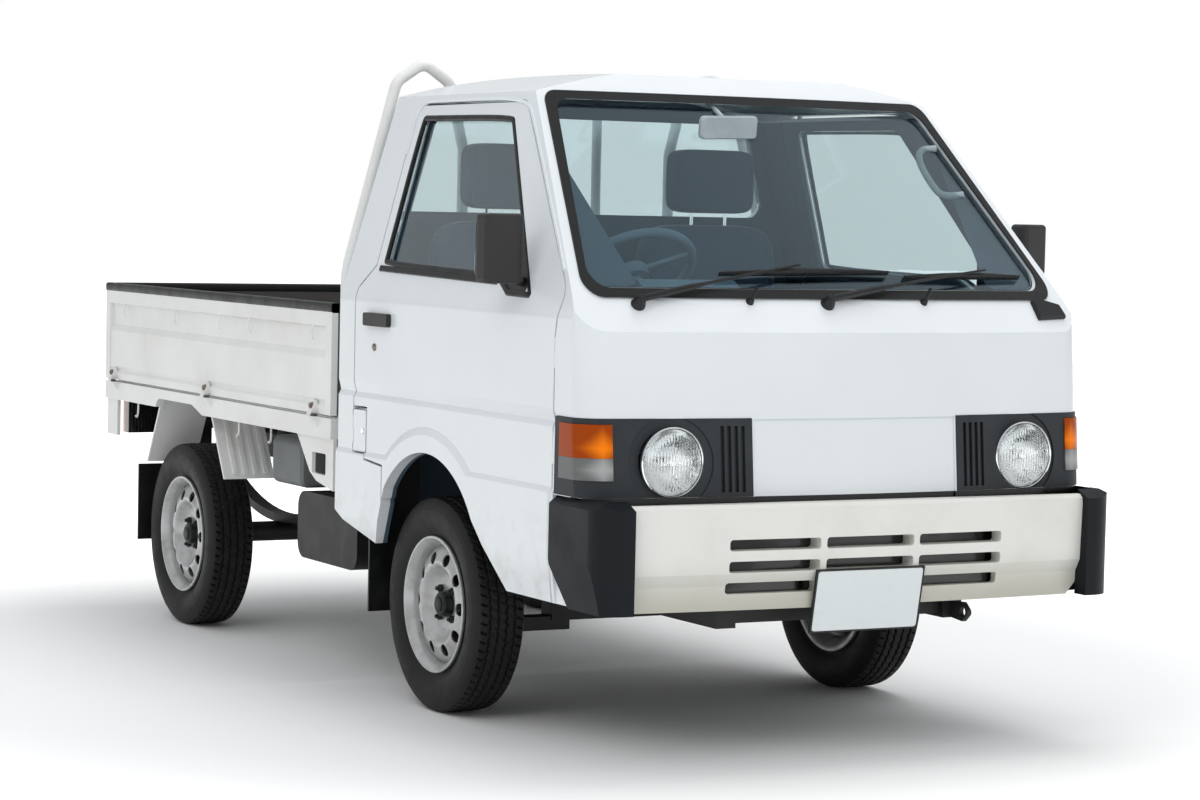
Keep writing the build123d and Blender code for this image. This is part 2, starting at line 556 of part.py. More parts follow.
# Frame rails and cross-members
kick_start, kick_end = -450, -850
rail_front, rail_rear = 1000, REAR_END + 60
rail_sketch = outline((rail_front, RAIL_FRONT_Z), (rail_front, RAIL_FRONT_Z + RAIL_HEIGHT),
                      (kick_start, RAIL_FRONT_Z + RAIL_HEIGHT), (kick_end, RAIL_REAR_Z + RAIL_HEIGHT),
                      (rail_rear, RAIL_REAR_Z + RAIL_HEIGHT), (rail_rear, RAIL_REAR_Z),
                      (kick_end, RAIL_REAR_Z),
                      (kick_start, RAIL_FRONT_Z))
TOW_HOLE = 14
TOW_THICK = 14
TOW_X, TOW_Z = 1058, 372
for name, side in SIDES:
    rail = along_y(rail_sketch, *span(side, RAIL_INNER, RAIL_INNER + RAIL_WIDTH))
    if side > 0:
        eye_y = RAIL_INNER + RAIL_WIDTH / 2
        eye = along_y(outline((rail_front - 2, TOW_Z - 20), (TOW_X, TOW_Z - 26), (TOW_X + 30, TOW_Z, 12),
                              (TOW_X, TOW_Z + 26), (rail_front - 2, TOW_Z + 24)), eye_y - TOW_THICK / 2,
                              eye_y + TOW_THICK / 2)
        eye -= rod((TOW_X, eye_y - TOW_THICK, TOW_Z), (TOW_X, eye_y + TOW_THICK, TOW_Z), TOW_HOLE)
        rail += eye
    save(f"frame_rail_{name}", rail)
# Cross-members: x of the middle, z of the underside
CROSS_ROWS = ((950, RAIL_FRONT_Z), (-1300, RAIL_REAR_Z), (REAR_END + 100, RAIL_REAR_Z))
save("cross_members", *[block(x - 30, x + 30, -RAIL_INNER, RAIL_INNER, z + 10, z + RAIL_HEIGHT - 10)
                        for x, z in CROSS_ROWS])

# Front suspension: beam with lower arms, and struts up to the wheel house
beam = block(-35, 35, -RAIL_INNER - 40, RAIL_INNER + 40, 250, RAIL_FRONT_Z)
for name, side in SIDES:
    y0, y1 = span(side, RAIL_INNER - 20, KINGPIN_HALF)
    beam += block(-30, 30, y0, y1, 222, 262)
    beam += Pos(0, side * KINGPIN_HALF, 242) * Cylinder(28, 40)
struts = [Pos(0, side * KINGPIN_HALF, (470.5 + SEAT_FLOOR_Z - FLOOR_THICK) / 2)
          * Cylinder(STRUT_RADIUS, SEAT_FLOOR_Z - FLOOR_THICK - 470.5) for name, side in SIDES]
save("front_suspension", beam, *struts)

# Knuckles: upright on the steering axis with its spindle and brake plate
wheel_y = TRACK / 2
for name, side in SIDES:
    upright = Pos(0, side * KINGPIN_HALF, (262.5 + 470) / 2) * Cylinder(STRUT_RADIUS, 470 - 262.5)
    upright += rod((0, side * KINGPIN_HALF, AXLE_Z), (0, side * (wheel_y - 30), AXLE_Z), 30)
    upright += rod((0, side * (wheel_y - 31), AXLE_Z), (0, side * (wheel_y + 45), AXLE_Z), SPINDLE_RADIUS)
    upright += rod((0, side * (wheel_y - 62), AXLE_Z), (0, side * (wheel_y - 52), AXLE_Z), 120)
    save(f"knuckle_{name}", upright)

# Wheels: tyre section and rim section as (radius, offset outwards) turned about the axle
half_tyre = TYRE_WIDTH / 2
tyre_section = outline((RIM_SEAT_RADIUS + FIT, -57), (RIM_FLANGE_RADIUS + 6, -61, 8), (252, -half_tyre, 45),
                       (TYRE_RADIUS - 8, -68, 14), (TYRE_RADIUS, -52), (TYRE_RADIUS, 52),
                       (TYRE_RADIUS - 8, 68, 14), (252, half_tyre, 45), (RIM_FLANGE_RADIUS + 6, 61, 8),
                       (RIM_SEAT_RADIUS + FIT, 57))
rim_rows = ((RIM_FLANGE_RADIUS, -70), (RIM_FLANGE_RADIUS, -62), (RIM_SEAT_RADIUS, -60),
            (RIM_SEAT_RADIUS - 18, -40),
            (RIM_SEAT_RADIUS - 18, 20), (RIM_SEAT_RADIUS, 34), (RIM_SEAT_RADIUS, 60),
            (RIM_FLANGE_RADIUS, 62),
            (RIM_FLANGE_RADIUS, 72), (RIM_FLANGE_RADIUS - 8, 72), (RIM_SEAT_RADIUS - 6, 58),
            (RIM_SEAT_RADIUS - 14, 24),
            (154, 22), (118, 40), (104, 30), (70, 22), (HUB_RADIUS, 22), (HUB_RADIUS, 66),
            (HUB_RADIUS - 8, 74),
            (0, 74), (0, 50), (SPINDLE_RADIUS + FIT, 50), (SPINDLE_RADIUS + FIT, -20), (48, -20), (48, 10),
            (104, 18),
            (118, 30), (150, 10), (RIM_SEAT_RADIUS - 26, -44), (RIM_SEAT_RADIUS - 8, -70))
rim_section = Polygon(*rim_rows, align=None)


def turned(section):
    """Turn a (radius, offset) section about the wheel's axle, which lies along +Y."""
    return revolve(Plane.XY * section, Axis.Y)


tyre = turned(tyre_section)
rim = turned(rim_section)
for index in range(VENT_COUNT):
    angle = 360 / VENT_COUNT * index
    rim -= Rot(0, angle, 0) * Pos(VENT_CIRCLE, 20, 0) * Rot(90, 0, 0) * Cylinder(VENT_RADIUS, 90)
WHEELS = (("front", 0), ("rear", REAR_AXLE))
for end, axle_x in WHEELS:
    for name, side in SIDES:
        for piece, solid in (("tyre", tyre), ("rim", rim)):
            turned_out = solid if side > 0 else Rot(0, 0, 180) * solid
            save(f"{piece}_{end}_{name}", Pos(axle_x, side * wheel_y, AXLE_Z) * turned_out)

# Rear axle with differential and leaf springs
axle = rod((REAR_AXLE, -wheel_y + 30, AXLE_Z), (REAR_AXLE, wheel_y - 30, AXLE_Z), 34)
axle += rod((REAR_AXLE, -wheel_y - 45, AXLE_Z), (REAR_AXLE, wheel_y + 45, AXLE_Z), SPINDLE_RADIUS)
axle += Pos(REAR_AXLE, 0, AXLE_Z) * Sphere(105)
SPRING_HALF_LENGTH = 500
SPRING_Y = RAIL_INNER + RAIL_WIDTH / 2
for name, side in SIDES:
    axle += rod((REAR_AXLE, side * (wheel_y - 62), AXLE_Z), (REAR_AXLE, side * (wheel_y - 52), AXLE_Z), 120)
    low, high = AXLE_Z + 30, 470
    top = ThreePointArc((REAR_AXLE - SPRING_HALF_LENGTH, high + 24), (REAR_AXLE, low + 30),
                        (REAR_AXLE + SPRING_HALF_LENGTH, high + 24))
    under = ThreePointArc((REAR_AXLE + SPRING_HALF_LENGTH, high), (REAR_AXLE, low),
                          (REAR_AXLE - SPRING_HALF_LENGTH, high))
    leaf = make_face([top, Line(top @ 1, under @ 0), under, Line(under @ 1, top @ 0)])
    axle += along_y(leaf, side * SPRING_Y - 25, side * SPRING_Y + 25)
    for end in (-1, 1):
        x = REAR_AXLE + end * (SPRING_HALF_LENGTH - 15)
        axle += block(x - 15, x + 15, side * SPRING_Y - 25, side * SPRING_Y + 25, 480, RAIL_REAR_Z)
save("rear_axle", axle)

# Engine with gearbox, propeller shaft, tank, exhaust, service box
ENGINE_HALF = 240
GEARBOX_Z = 405
GEARBOX_END = -900
engine = block(-480, 60, -ENGINE_HALF, ENGINE_HALF, RAIL_FRONT_Z + 6, 650)
engine += block(-240, -160, -RAIL_INNER, RAIL_INNER, RAIL_FRONT_Z + 10, RAIL_FRONT_Z + 60)
engine += rod((-470, 0, GEARBOX_Z), (GEARBOX_END, 0, GEARBOX_Z), 88)
save("engine", engine)
shaft_end = (REAR_AXLE + 104, 0, AXLE_Z + 12)
shaft = rod((GEARBOX_END + 10, 0, GEARBOX_Z), shaft_end, 30) - Pos(REAR_AXLE, 0, AXLE_Z) * Sphere(105 + FIT)
save("propeller_shaft", shaft - block(GEARBOX_END - FIT, GEARBOX_END + 60, -100, 100, 300, 600))
tank = block(-1080, -620, -700, -RAIL_INNER - RAIL_WIDTH - FIT, 330, 540)
tank = fillet(tank.edges().filter_by(Axis.Y), 50)
save("fuel_tank", tank)
exhaust = rod((-950, 480, 470), (-1420, 480, 470), 75) + rod((-1400, 480, 470), (REAR_END + 40, 480, 470),
                                                            20)
for hang_x in (-1180, REAR_END + 100):
    exhaust += block(hang_x - 10, hang_x + 10, 470, 490, 470, RAIL_REAR_Z + RAIL_HEIGHT)
save("exhaust", exhaust)

# Load bed: deck, skirts, bearers and brackets
bearer_half = BED_HALF - 237
STRAP_NOSE = 7
DECK_REAR = REAR_END + GATE_PIN_OUT + STRAP_NOSE
GATE_LOW = GROUND_TO_DECK + GATE_GAP
skirt_low = GROUND_TO_DECK - SKIRT_HEIGHT
EDGE_DROP = 3
BOARD_THICK = 28
BOARD_SET = 6
GATE_ROOM = 8
deck_edge_z = GROUND_TO_DECK - EDGE_DROP
floor_half = BED_HALF - GATE_THICK - GATE_ROOM
deck = block(DECK_REAR, BED_FRONT, -BED_HALF, BED_HALF, GROUND_TO_DECK - DECK_THICK, deck_edge_z)
deck += block(DECK_REAR + GATE_THICK + GATE_ROOM, BED_FRONT - BOARD_SET - BOARD_THICK - FIT, -floor_half,
              floor_half,
              deck_edge_z, GROUND_TO_DECK)
deck += block(DECK_REAR, DECK_REAR + 26, -BED_HALF, BED_HALF, skirt_low, deck_edge_z)
BEARER_ROWS = (-700, -1180, -1560, -2390, REAR_END + 100)
save("bed_bearers", *[block(x - 35, x + 35, -bearer_half, bearer_half, RAIL_REAR_Z + RAIL_HEIGHT,
                            GROUND_TO_DECK - DECK_THICK)
                      for x in BEARER_ROWS])
service_box = block(BEARER_ROWS[1] - 120, BEARER_ROWS[1] + 120, -bearer_half - 140, -bearer_half - FIT, 545,
                    700)
service_box = fillet(service_box.edges().filter_by(Axis.X).sort_by(Axis.Y)[:2], 28)
save("service_box", chamfer(service_box.faces().sort_by(Axis.Y)[0].edges(), 9))
arch_cut = outline((REAR_AXLE - 170, skirt_low - 20), (REAR_AXLE + 390, skirt_low - 20),
                   (REAR_AXLE + 323, skirt_low + 1),
                   (REAR_AXLE + 230, 765, 40), (REAR_AXLE - 90, 765, 40), (REAR_AXLE - 109, skirt_low + 1))
for name, side in SIDES:
    y0, y1 = span(side, BED_HALF - 27, BED_HALF)
    deck += block(DECK_REAR, BED_FRONT, y0, y1, skirt_low, deck_edge_z)
    p0, p1 = span(side, BED_HALF - 22, BED_HALF - 10)
    bracket = outline((BED_FRONT, skirt_low + 5), (BED_FRONT, 578), (-740, 600), (-790, 625),
                      (-897, skirt_low + 5))
    deck += along_y(bracket - outline((-773, 622, 8), (-668, 620, 8), (-668, 686, 8), (-773, 686, 8)), p0,
                    p1)
    deck += block(DECK_REAR, DECK_REAR + 102, p0, p1, 608, skirt_low + 5)
deck -= along_y(arch_cut, -BED_HALF - 60, BED_HALF + 60)

# Gates: setback of the outer face and height, from the bottom band over the panel to the top band
GATE_ROWS = ((0, GATE_LOW), (0, 830), (9, 838), (9, 842), (3, 853), (3, 978), (13, 1000), (13, 1070),
             (0, 1075), (0, GATE_TOP))
GATE_END = 42
gate_rows = [(BED_HALF - back, z) for back, z in GATE_ROWS]
gate_rows += [(BED_HALF - GATE_THICK, GATE_TOP), (BED_HALF - GATE_THICK, GATE_LOW)]
gate_section = Polygon(*gate_rows, align=None)
HINGE_ROWS = (BED_FRONT - 110, BED_FRONT - 1000, DECK_REAR + 110)
PIN_Z = GROUND_TO_DECK + 2
gate_front = BED_FRONT - 4
gate_rear = DECK_REAR
STRAP_WIDTH = 30
LUG_WIDTH = 20
PIN_RADIUS = 4


def strap_sketch(face):
    """Gate strap beside its pin, in (outwards, z); face is the gate's outer face."""
    pin = face + GATE_PIN_OUT
    plate = Polygon((face - 3, GATE_LOW + 4), (face - 3, GATE_LOW + 40), (face + 4, GATE_LOW + 40),
                    (pin + STRAP_NOSE, PIN_Z),
                    (pin, PIN_Z - 7), (pin - 7, PIN_Z), (face, GATE_LOW + 4), align=None)
    return plate - Pos(pin, PIN_Z) * Circle(PIN_RADIUS + FIT)


def lug_sketch(face):
    """Lug on the deck's edge that holds the gate's pin."""
    pin = face + GATE_PIN_OUT
    return Polygon((face - 3, GROUND_TO_DECK - 34), (face, GROUND_TO_DECK - 34),
                   (pin + STRAP_NOSE, PIN_Z - 5), (pin + 5, PIN_Z + 5),
                   (pin - 5, PIN_Z + 5), (face - 3, GROUND_TO_DECK - 6), align=None)


for name, side in SIDES:
    gate = along_x(gate_section, gate_rear, gate_front)
    for x0, x1 in ((gate_rear, gate_rear + GATE_END), (gate_front - GATE_END, gate_front)):
        gate += block(x0, x1, BED_HALF - GATE_THICK, BED_HALF, GATE_LOW, GATE_TOP)
    lugs = []
    for x in HINGE_ROWS:
        gate += along_x(strap_sketch(BED_HALF), x - STRAP_WIDTH, x)
        lugs.append(along_x(lug_sketch(BED_HALF), x + FIT, x + LUG_WIDTH)
                    + rod((x + LUG_WIDTH, BED_HALF + GATE_PIN_OUT, PIN_Z),
                          (x - STRAP_WIDTH - 5, BED_HALF + GATE_PIN_OUT, PIN_Z), PIN_RADIUS))
    for lug in lugs:
        deck += lug if side > 0 else mirrored(lug)
    save(f"gate_{name}", gate if side > 0 else mirrored(gate))
tail_half = BED_HALF - GATE_THICK - 5
tail_section = Plane.XZ * Polygon(*[(DECK_REAR + BED_HALF - y, z) for y, z in gate_rows], align=None)
tail = extrude(tail_section, tail_half, both=True)
TAIL_HINGES = (-600, 0, 600)
outwards = Plane(origin=(0, 0, 0), x_dir=(-1, 0, 0), z_dir=(0, 1, 0))
for y in TAIL_HINGES:
    tail += extrude(outwards.offset(y) * strap_sketch(-DECK_REAR), STRAP_WIDTH, dir=(0, -1, 0))
    lug = extrude(outwards.offset(y + FIT) * lug_sketch(-DECK_REAR), LUG_WIDTH, dir=(0, 1, 0))
    deck += lug + rod((DECK_REAR - GATE_PIN_OUT, y + LUG_WIDTH, PIN_Z),
                      (DECK_REAR - GATE_PIN_OUT, y - STRAP_WIDTH - 5, PIN_Z), PIN_RADIUS)
save("gate_rear", tail)
save("bed_deck", deck)

# Front board with guard loops
board = block(BED_FRONT - BOARD_SET - BOARD_THICK, BED_FRONT - BOARD_SET, -floor_half, floor_half,
              deck_edge_z, GATE_TOP)
guard_x = BED_FRONT - BOARD_SET - BOARD_THICK / 2
GUARD_OUT, BAR_Y, CROSS_Z = BED_HALF - 52, 100, GUARD_TOP - 86
guard_in = GUARD_OUT - 385
guard_path = Plane.YZ.offset(guard_x) * FilletPolyline(
    (GUARD_OUT, GATE_TOP - 20), (GUARD_OUT, GATE_TOP + 97), (GUARD_OUT - 155, GUARD_TOP - 60),
    (GUARD_OUT - 245, GUARD_TOP), (GUARD_OUT - 335, GUARD_TOP - 60), (guard_in, GUARD_TOP - 260),
    (guard_in, GATE_TOP - 20), radius=(180, 60, 45, 60, 60))
tube = sweep(Plane(origin=(guard_x, GUARD_OUT, GATE_TOP - 20), z_dir=(0, 0, 1)) * Circle(GUARD_TUBE),
             path=guard_path)
guard = board + tube + mirrored(tube)
for y in (-BAR_Y, BAR_Y):
    guard += rod((guard_x, y, GATE_TOP - 10), (guard_x, y, CROSS_Z), GUARD_TUBE - 2)
guard += rod((guard_x, -guard_in - 40, CROSS_Z), (guard_x, guard_in + 40, CROSS_Z), GUARD_TUBE - 2)
save("front_guard", guard)

# Rear mudguards with ribbed front walls, and mud flaps
RIB_WIDTH, RIB_OUT, RIB_COUNT = 14, 7, 4
guards = []
flaps = []
under_deck = GROUND_TO_DECK - DECK_THICK - 0.5
for name, side in SIDES:
    y0, y1 = span(side, BED_HALF - 207, BED_HALF - 30)
    fender = outline((REAR_AXLE + 461, 534), (REAR_AXLE + 323, under_deck), (REAR_AXLE - 132, under_deck),
                     (REAR_AXLE - 268, 535), (REAR_AXLE - 258, 535), (REAR_AXLE - 124, under_deck - 10),
                     (REAR_AXLE + 316, under_deck - 10), (REAR_AXLE + 451, 534))
    fender = along_y(fender, y0, y1)
    rib = outline((REAR_AXLE + 447, 550), (REAR_AXLE + 326, 756), (REAR_AXLE + 331 + RIB_OUT, 756),
                  (REAR_AXLE + 452 + RIB_OUT, 550))
    for index in range(RIB_COUNT):
        y = side * (BED_HALF - 72 - index * 36)
        fender += along_y(rib, y - RIB_WIDTH / 2, y + RIB_WIDTH / 2)
    guards.append(fender)
    front_flap = block(-402, -394, *span(side, BODY_HALF - 215, BODY_HALF - 35), 240, 470)
    flaps.append(front_flap + block(-402, -394, *span(side, BODY_HALF - 195, BODY_HALF - 55), 440,
                                    SEAT_FLOOR_Z - FLOOR_THICK))
    flap_x = (REAR_AXLE - 345, REAR_AXLE - 337)
    flap_in, flap_out = BED_HALF - 297, BED_HALF - 27
    flaps.append(block(*flap_x, *span(side, flap_in + 85, flap_out), 255, 520)
                 + block(*flap_x, *span(side, flap_in, flap_in + 60), 480, GROUND_TO_DECK - DECK_THICK)
                 + block(*flap_x, *span(side, flap_in, flap_out), 480, 520))
save("rear_mudguards", *guards)
save("mud_flaps", *flaps)
save("tail_lamps", *[block(DECK_REAR + 4, DECK_REAR + 60, *span(side, BED_HALF - 227, BED_HALF - 67), 612,
                           skirt_low - FIT)
                     for name, side in SIDES])
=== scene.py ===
"""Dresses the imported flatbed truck: paint, rubber, glass, tyres, lamps, seats and trim.

Places are in metres in the frame's own axes: X forward, Y to the left, Z up from the ground.
The at() function takes millimetres from the ground under the middle of the front axle.
"""

import bmesh
import bpy
import numpy as np
from bpy.props import FloatProperty, FloatVectorProperty, IntProperty, PointerProperty
from mathutils import Matrix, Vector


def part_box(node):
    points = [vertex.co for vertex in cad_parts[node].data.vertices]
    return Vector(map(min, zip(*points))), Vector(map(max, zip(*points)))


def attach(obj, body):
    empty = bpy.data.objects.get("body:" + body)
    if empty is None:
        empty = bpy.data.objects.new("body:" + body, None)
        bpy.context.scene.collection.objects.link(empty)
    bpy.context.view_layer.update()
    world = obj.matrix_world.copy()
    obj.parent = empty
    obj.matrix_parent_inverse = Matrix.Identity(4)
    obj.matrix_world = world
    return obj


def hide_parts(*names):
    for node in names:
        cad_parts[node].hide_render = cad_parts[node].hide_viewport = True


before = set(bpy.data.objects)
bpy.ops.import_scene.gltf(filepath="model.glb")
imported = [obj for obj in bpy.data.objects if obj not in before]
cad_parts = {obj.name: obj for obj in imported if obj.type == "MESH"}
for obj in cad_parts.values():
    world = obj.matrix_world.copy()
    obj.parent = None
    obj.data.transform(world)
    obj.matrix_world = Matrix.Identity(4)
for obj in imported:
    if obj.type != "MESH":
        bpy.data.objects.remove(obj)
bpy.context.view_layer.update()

bl_info = {
    "name": "Flatbed truck dressing",
    "version": (1, 0, 0),
    "blender": (4, 5, 0),
    "location": "View3D > Sidebar > Truck",
    "description": "Paint, rubber, glass, tyres, lamps, seats and trim for a small flatbed truck",
    "category": "Object",
}

MM = 0.001
SIDES = (("right", -1), ("left", 1))
WHEELS = tuple((f"{end}_{name}", side) for end in ("front", "rear") for name, side in SIDES)
# The cab's side in mm: half its width, the height of the belt, and the lean above the belt.
BODY_HALF, BELT_Z, SIDE_LEAN = 795, 1165, 158 / 600
# The cab's outer faces in metres, as depth_inside() reads them: side, back, roof and three of the front.
CAB_FACES = ((0, -1, 0, 0, -SIDE_LEAN, BODY_HALF * MM), (1, 0, 0, 0, -0.0803, -0.19),
             (0, 0, -1, -0.2095, 0, 1.825), (-1, 0, -0.9792, -0.1111, 0, 2.9047),
             (-1, 0, -0.8451, -0.1111, 0, 2.7408), (-1, 0, -0.0887, -0.1111, 0, 1.8853))
# Distance of the turn lamps' and side lamps' bulbs from the middle, in mm.
LAMP_Y = 742
# A Wave node's scale times the width of one rib or thread in metres.
WAVE = 0.157


def middle(node):
    """Middle of a frame node's box."""
    low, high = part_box(node)
    return (np.array(low) + np.array(high)) / 2


AXLE_X = middle("rim_front_right")[0]


def at(points):
    """Millimetres from the ground under the front axle, as metres in the frame."""
    return np.asarray(points, float) * MM + (AXLE_X, 0, 0)


def on_side(rows, side, proud=0.0):
    """Points on the leaning cab side over the belt, from (x, z) and how far they stand proud, in mm."""
    x, z = np.asarray(rows, float).T
    return at(np.stack([x, side * (BODY_HALF + proud - (z - BELT_Z) * SIDE_LEAN), z], 1))


def linear(code):
    """sRGB hex colour as linear red, green and blue."""
    c = np.array([int(code[i:i + 2], 16) for i in (1, 3, 5)]) / 255
    return tuple(np.where(c <= 0.04045, c / 12.92, ((c + 0.055) / 1.055) ** 2.4).tolist())


def tint(name, text, code):
    """Colour property with a default in sRGB hex."""
    return FloatVectorProperty(name=name, description=text, subtype="COLOR", size=3, min=0, max=1,
                               default=linear(code))


def length(name, text, value):
    """Length property with a default in millimetres."""
    return FloatProperty(name=name, description=text, subtype="DISTANCE", unit="LENGTH", default=value * MM)


class TruckColours(bpy.types.PropertyGroup):
    """Colours of the truck's finishes."""

    cab: tint("Cab enamel", "Cool white of the cab", "#E6EBEE")
    bed: tint("Bed enamel", "Aged off-white of the load bed", "#ECEDEC")
    worn: tint("Bed floor", "Worn dark paint inside the bed", "#474543")
    rust: tint("Rust", "Stains at hinges and edges", "#7A4A2A")
    chassis: tint("Chassis black", "Underbody paint", "#131313")
    plastic: tint("Charcoal plastic", "Lamp panels", "#2B2F32")
    corner: tint("Corner plastic", "Bumper corners", "#0F1317")
    mirror: tint("Mirror plastic", "Door mirrors", "#2B2A2B")
    rubber: tint("Black rubber", "Window seals and flaps", "#101112")
    tyre: tint("Tyre rubber", "Tyres", "#111111")
    rim: tint("Wheel paint", "Silver of the rims", "#B9BBBB")
    glass: tint("Glass", "Tint of the windows", "#D9E6E8")
    amber: tint("Amber lens", "Turn lamps", "#F07A10")
    red: tint("Red lens", "Tail lamps", "#A8120E")
    seat: tint("Seat cloth", "Seats and headrests", "#3B5168")
    trim: tint("Inner plastic", "Dashboard and steering wheel", "#587080")
    lining: tint("Lining", "Inside of the cab", "#3F5160")
    plate: tint("Plate", "Blank number plate", "#DDE3E4")


class TruckSizes(bpy.types.PropertyGroup):
    """Sizes of the added pieces."""

    tread_depth: length("Tread depth", "Depth of the tyre grooves", 7)
    tread_pitch: length("Tread pitch", "Length of one block along the tread", 27)
    nut_circle: length("Nut circle", "Radius of the circle of wheel nuts", 57)
    nut_radius: length("Nut radius", "Corner radius of a wheel nut", 11)
    nut_count: IntProperty(name="Wheel nuts", description="Nuts on each wheel", default=4, min=3, max=6)
    vent_circle: length("Vent circle", "Radius of the circle of wheel vents", 134)
    vent_radius: length("Vent radius", "Radius of a wheel vent", 18)
    vent_count: IntProperty(name="Wheel vents", description="Vents in each wheel", default=10, min=6,
                            max=12)
    seal_width: length("Window seal", "Width of the door window rubber", 17)
    hook_wire: length("Hook wire", "Diameter of the rope hooks", 7)
    rail_height: length("Gate rail", "Height of the black rail on the gates", 31)


def colours():
    """The colours set in the panel."""
    return bpy.context.scene.truck_colours


def sizes():
    """The sizes set in the panel."""
    return bpy.context.scene.truck_sizes


def unit(vectors):
    """Vectors scaled to length one."""
    vectors = np.asarray(vectors, float)
    return vectors / np.linalg.norm(vectors, axis=-1, keepdims=True)


def grid(points, wrap_u=False, wrap_v=False):
    """Quads between neighbours on a grid of points, which may close on itself either way."""
    nu, nv = points.shape[:2]
    i, j = np.meshgrid(np.arange(nu - (not wrap_u)), np.arange(nv - (not wrap_v)), indexing="ij")
    k, m = (i + 1) % nu, (j + 1) % nv
    quads = np.stack([i * nv + j, k * nv + j, k * nv + m, i * nv + m], -1).reshape(-1, 4)
    return points.reshape(-1, 3), quads.tolist()


def capped(points):
    """Closed body from a grid of rings: quads between rings and a flat face on both ends."""
    verts, faces = grid(points, wrap_v=True)
    n = points.shape[1]
    last = len(verts) - n
    return verts, faces + [list(range(n)), list(range(last + n - 1, last - 1, -1))]


def carried(path, section, normal=None, closed=False):
    """Section carried along a path.

    Each path point gets the section's first number times the side direction, which is square
    to the path and the normal, plus its second number times the normal.
    """
    path, section = np.asarray(path, float), np.asarray(section, float)
    ahead = unit(np.roll(path, -1, 0) - np.roll(path, 1, 0) if closed else np.gradient(path, axis=0))
    if normal is None:
        normal = np.eye(3)[np.abs(ahead).max(0).argmin()]
    rise = np.broadcast_to(np.asarray(normal, float), path.shape)
    rise = unit(rise - (rise * ahead).sum(1, keepdims=True) * ahead)
    side = np.cross(ahead, rise)
    points = path[:, None] + section[None, :, :1] * side[:, None] + section[None, :, 1:] * rise[:, None]
    return grid(points, True, True) if closed else capped(points)


def circle(radius, steps=12):
    """Points of a circle, by angle."""
    a = np.arange(steps) * 2 * np.pi / steps
    return radius * np.stack([np.cos(a), np.sin(a)], 1)


def rounded(width, height, radius, steps=5):
    """Outline of a rectangle whose corners are quarter circles."""
    a = np.linspace(0, np.pi / 2, steps)[None] + np.arange(4)[:, None] * np.pi / 2
    corner = np.array([[1, 1], [-1, 1], [-1, -1], [1, -1]]) * (width / 2 - radius, height / 2 - radius)
    return (corner[:, None] + radius * np.stack([np.cos(a), np.sin(a)], -1)).reshape(-1, 2)


def softened(points, closed=False, rounds=3):
    """Path with its corners cut at a quarter and three quarters of each run, over and over."""
    p = np.asarray(points, float)
    for _ in range(rounds):
        q = np.roll(p, -1, 0) if closed else p[1:]
        a = p if closed else p[:-1]
        cut = np.stack([0.75 * a + 0.25 * q, 0.25 * a + 0.75 * q], 1).reshape(-1, p.shape[1])
        p = cut if closed else np.concatenate([p[:1], cut, p[-1:]])
    return p


def tube(points, radius, steps=10, rounds=3):
    """Round bar along a softened path."""
    return carried(softened(points, rounds=rounds), circle(radius, steps))


def turned(profile, centre, axis, steps=48, closed=False):
    """(radius, along) profile turned about an axis through centre.

    A point lies at centre + along * axis + radius * (cos a * one + sin a * other).
    """
    axis = unit(axis)
    one = unit(np.cross(axis, np.eye(3)[np.abs(axis).argmin()]))
    other = np.cross(axis, one)
    a = np.arange(steps) * 2 * np.pi / steps
    ring = np.cos(a)[:, None] * one + np.sin(a)[:, None] * other
    profile = np.asarray(profile, float)
    points = centre + profile[None, :, 1:] * axis + profile[None, :, :1] * ring[:, None]
    return grid(points, True, closed)


def raised(outline, levels, origin, across, up):
    """Flat outline raised through levels of (inset, height) along across x up.

    Each level moves the outline's points inwards along its own normals by the inset.
    """
    outline = np.asarray(outline, float)
    along = unit(np.roll(outline, -1, 0) - np.roll(outline, 1, 0))
    out = np.stack([along[:, 1], -along[:, 0]], 1)
    across, up = np.asarray(across, float), np.asarray(up, float)
    lift = np.cross(across, up)
    rings = np.stack([outline - inset * out for inset, _ in levels])
    heights = np.array([h for _, h in levels])
    return capped(origin + rings[..., :1] * across + rings[..., 1:] * up + heights[:, None, None] * lift)


def piece(name, parts, material, body, replaces=(), sharp=35):
    """One object from parts of (points, faces), shaded smooth up to an angle in degrees."""
    start, verts, faces = 0, [], []
    for points, polygons in parts:
        verts.append(points)
        faces += [[v + start for v in polygon] for polygon in polygons]
        start += len(points)
    mesh = bpy.data.meshes.new(name)
    mesh.from_pydata(np.concatenate(verts).tolist(), [], faces)
    made = bmesh.new()
    made.from_mesh(mesh)
    bmesh.ops.remove_doubles(made, verts=made.verts, dist=1e-6)
    bmesh.ops.dissolve_degenerate(made, edges=made.edges, dist=1e-7)
    bmesh.ops.recalc_face_normals(made, faces=made.faces)
    made.to_mesh(mesh)
    made.free()
    mesh.polygons.foreach_set("use_smooth", np.ones(len(mesh.polygons), bool))
    mesh.set_sharp_from_angle(angle=np.radians(sharp))
    mesh.materials.append(material)
    thing = bpy.data.objects.new(name, mesh)
    bpy.context.scene.collection.objects.link(thing)
    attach(thing, body)
    if replaces:
        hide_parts(*replaces)
    return thing


def add(tree, kind, inputs=(), **settings):
    """Adds a node, sets its properties, links or sets inputs by name or in order, and gives its outputs."""
    node = tree.nodes.new("ShaderNode" + kind)
    for key, value in settings.items():
        setattr(node, key, value)
    for key, value in inputs.items() if isinstance(inputs, dict) else enumerate(inputs):
        if isinstance(value, bpy.types.NodeSocket):
            tree.links.new(value, node.inputs[key])
        else:
            node.inputs[key].default_value = value
    return node.outputs


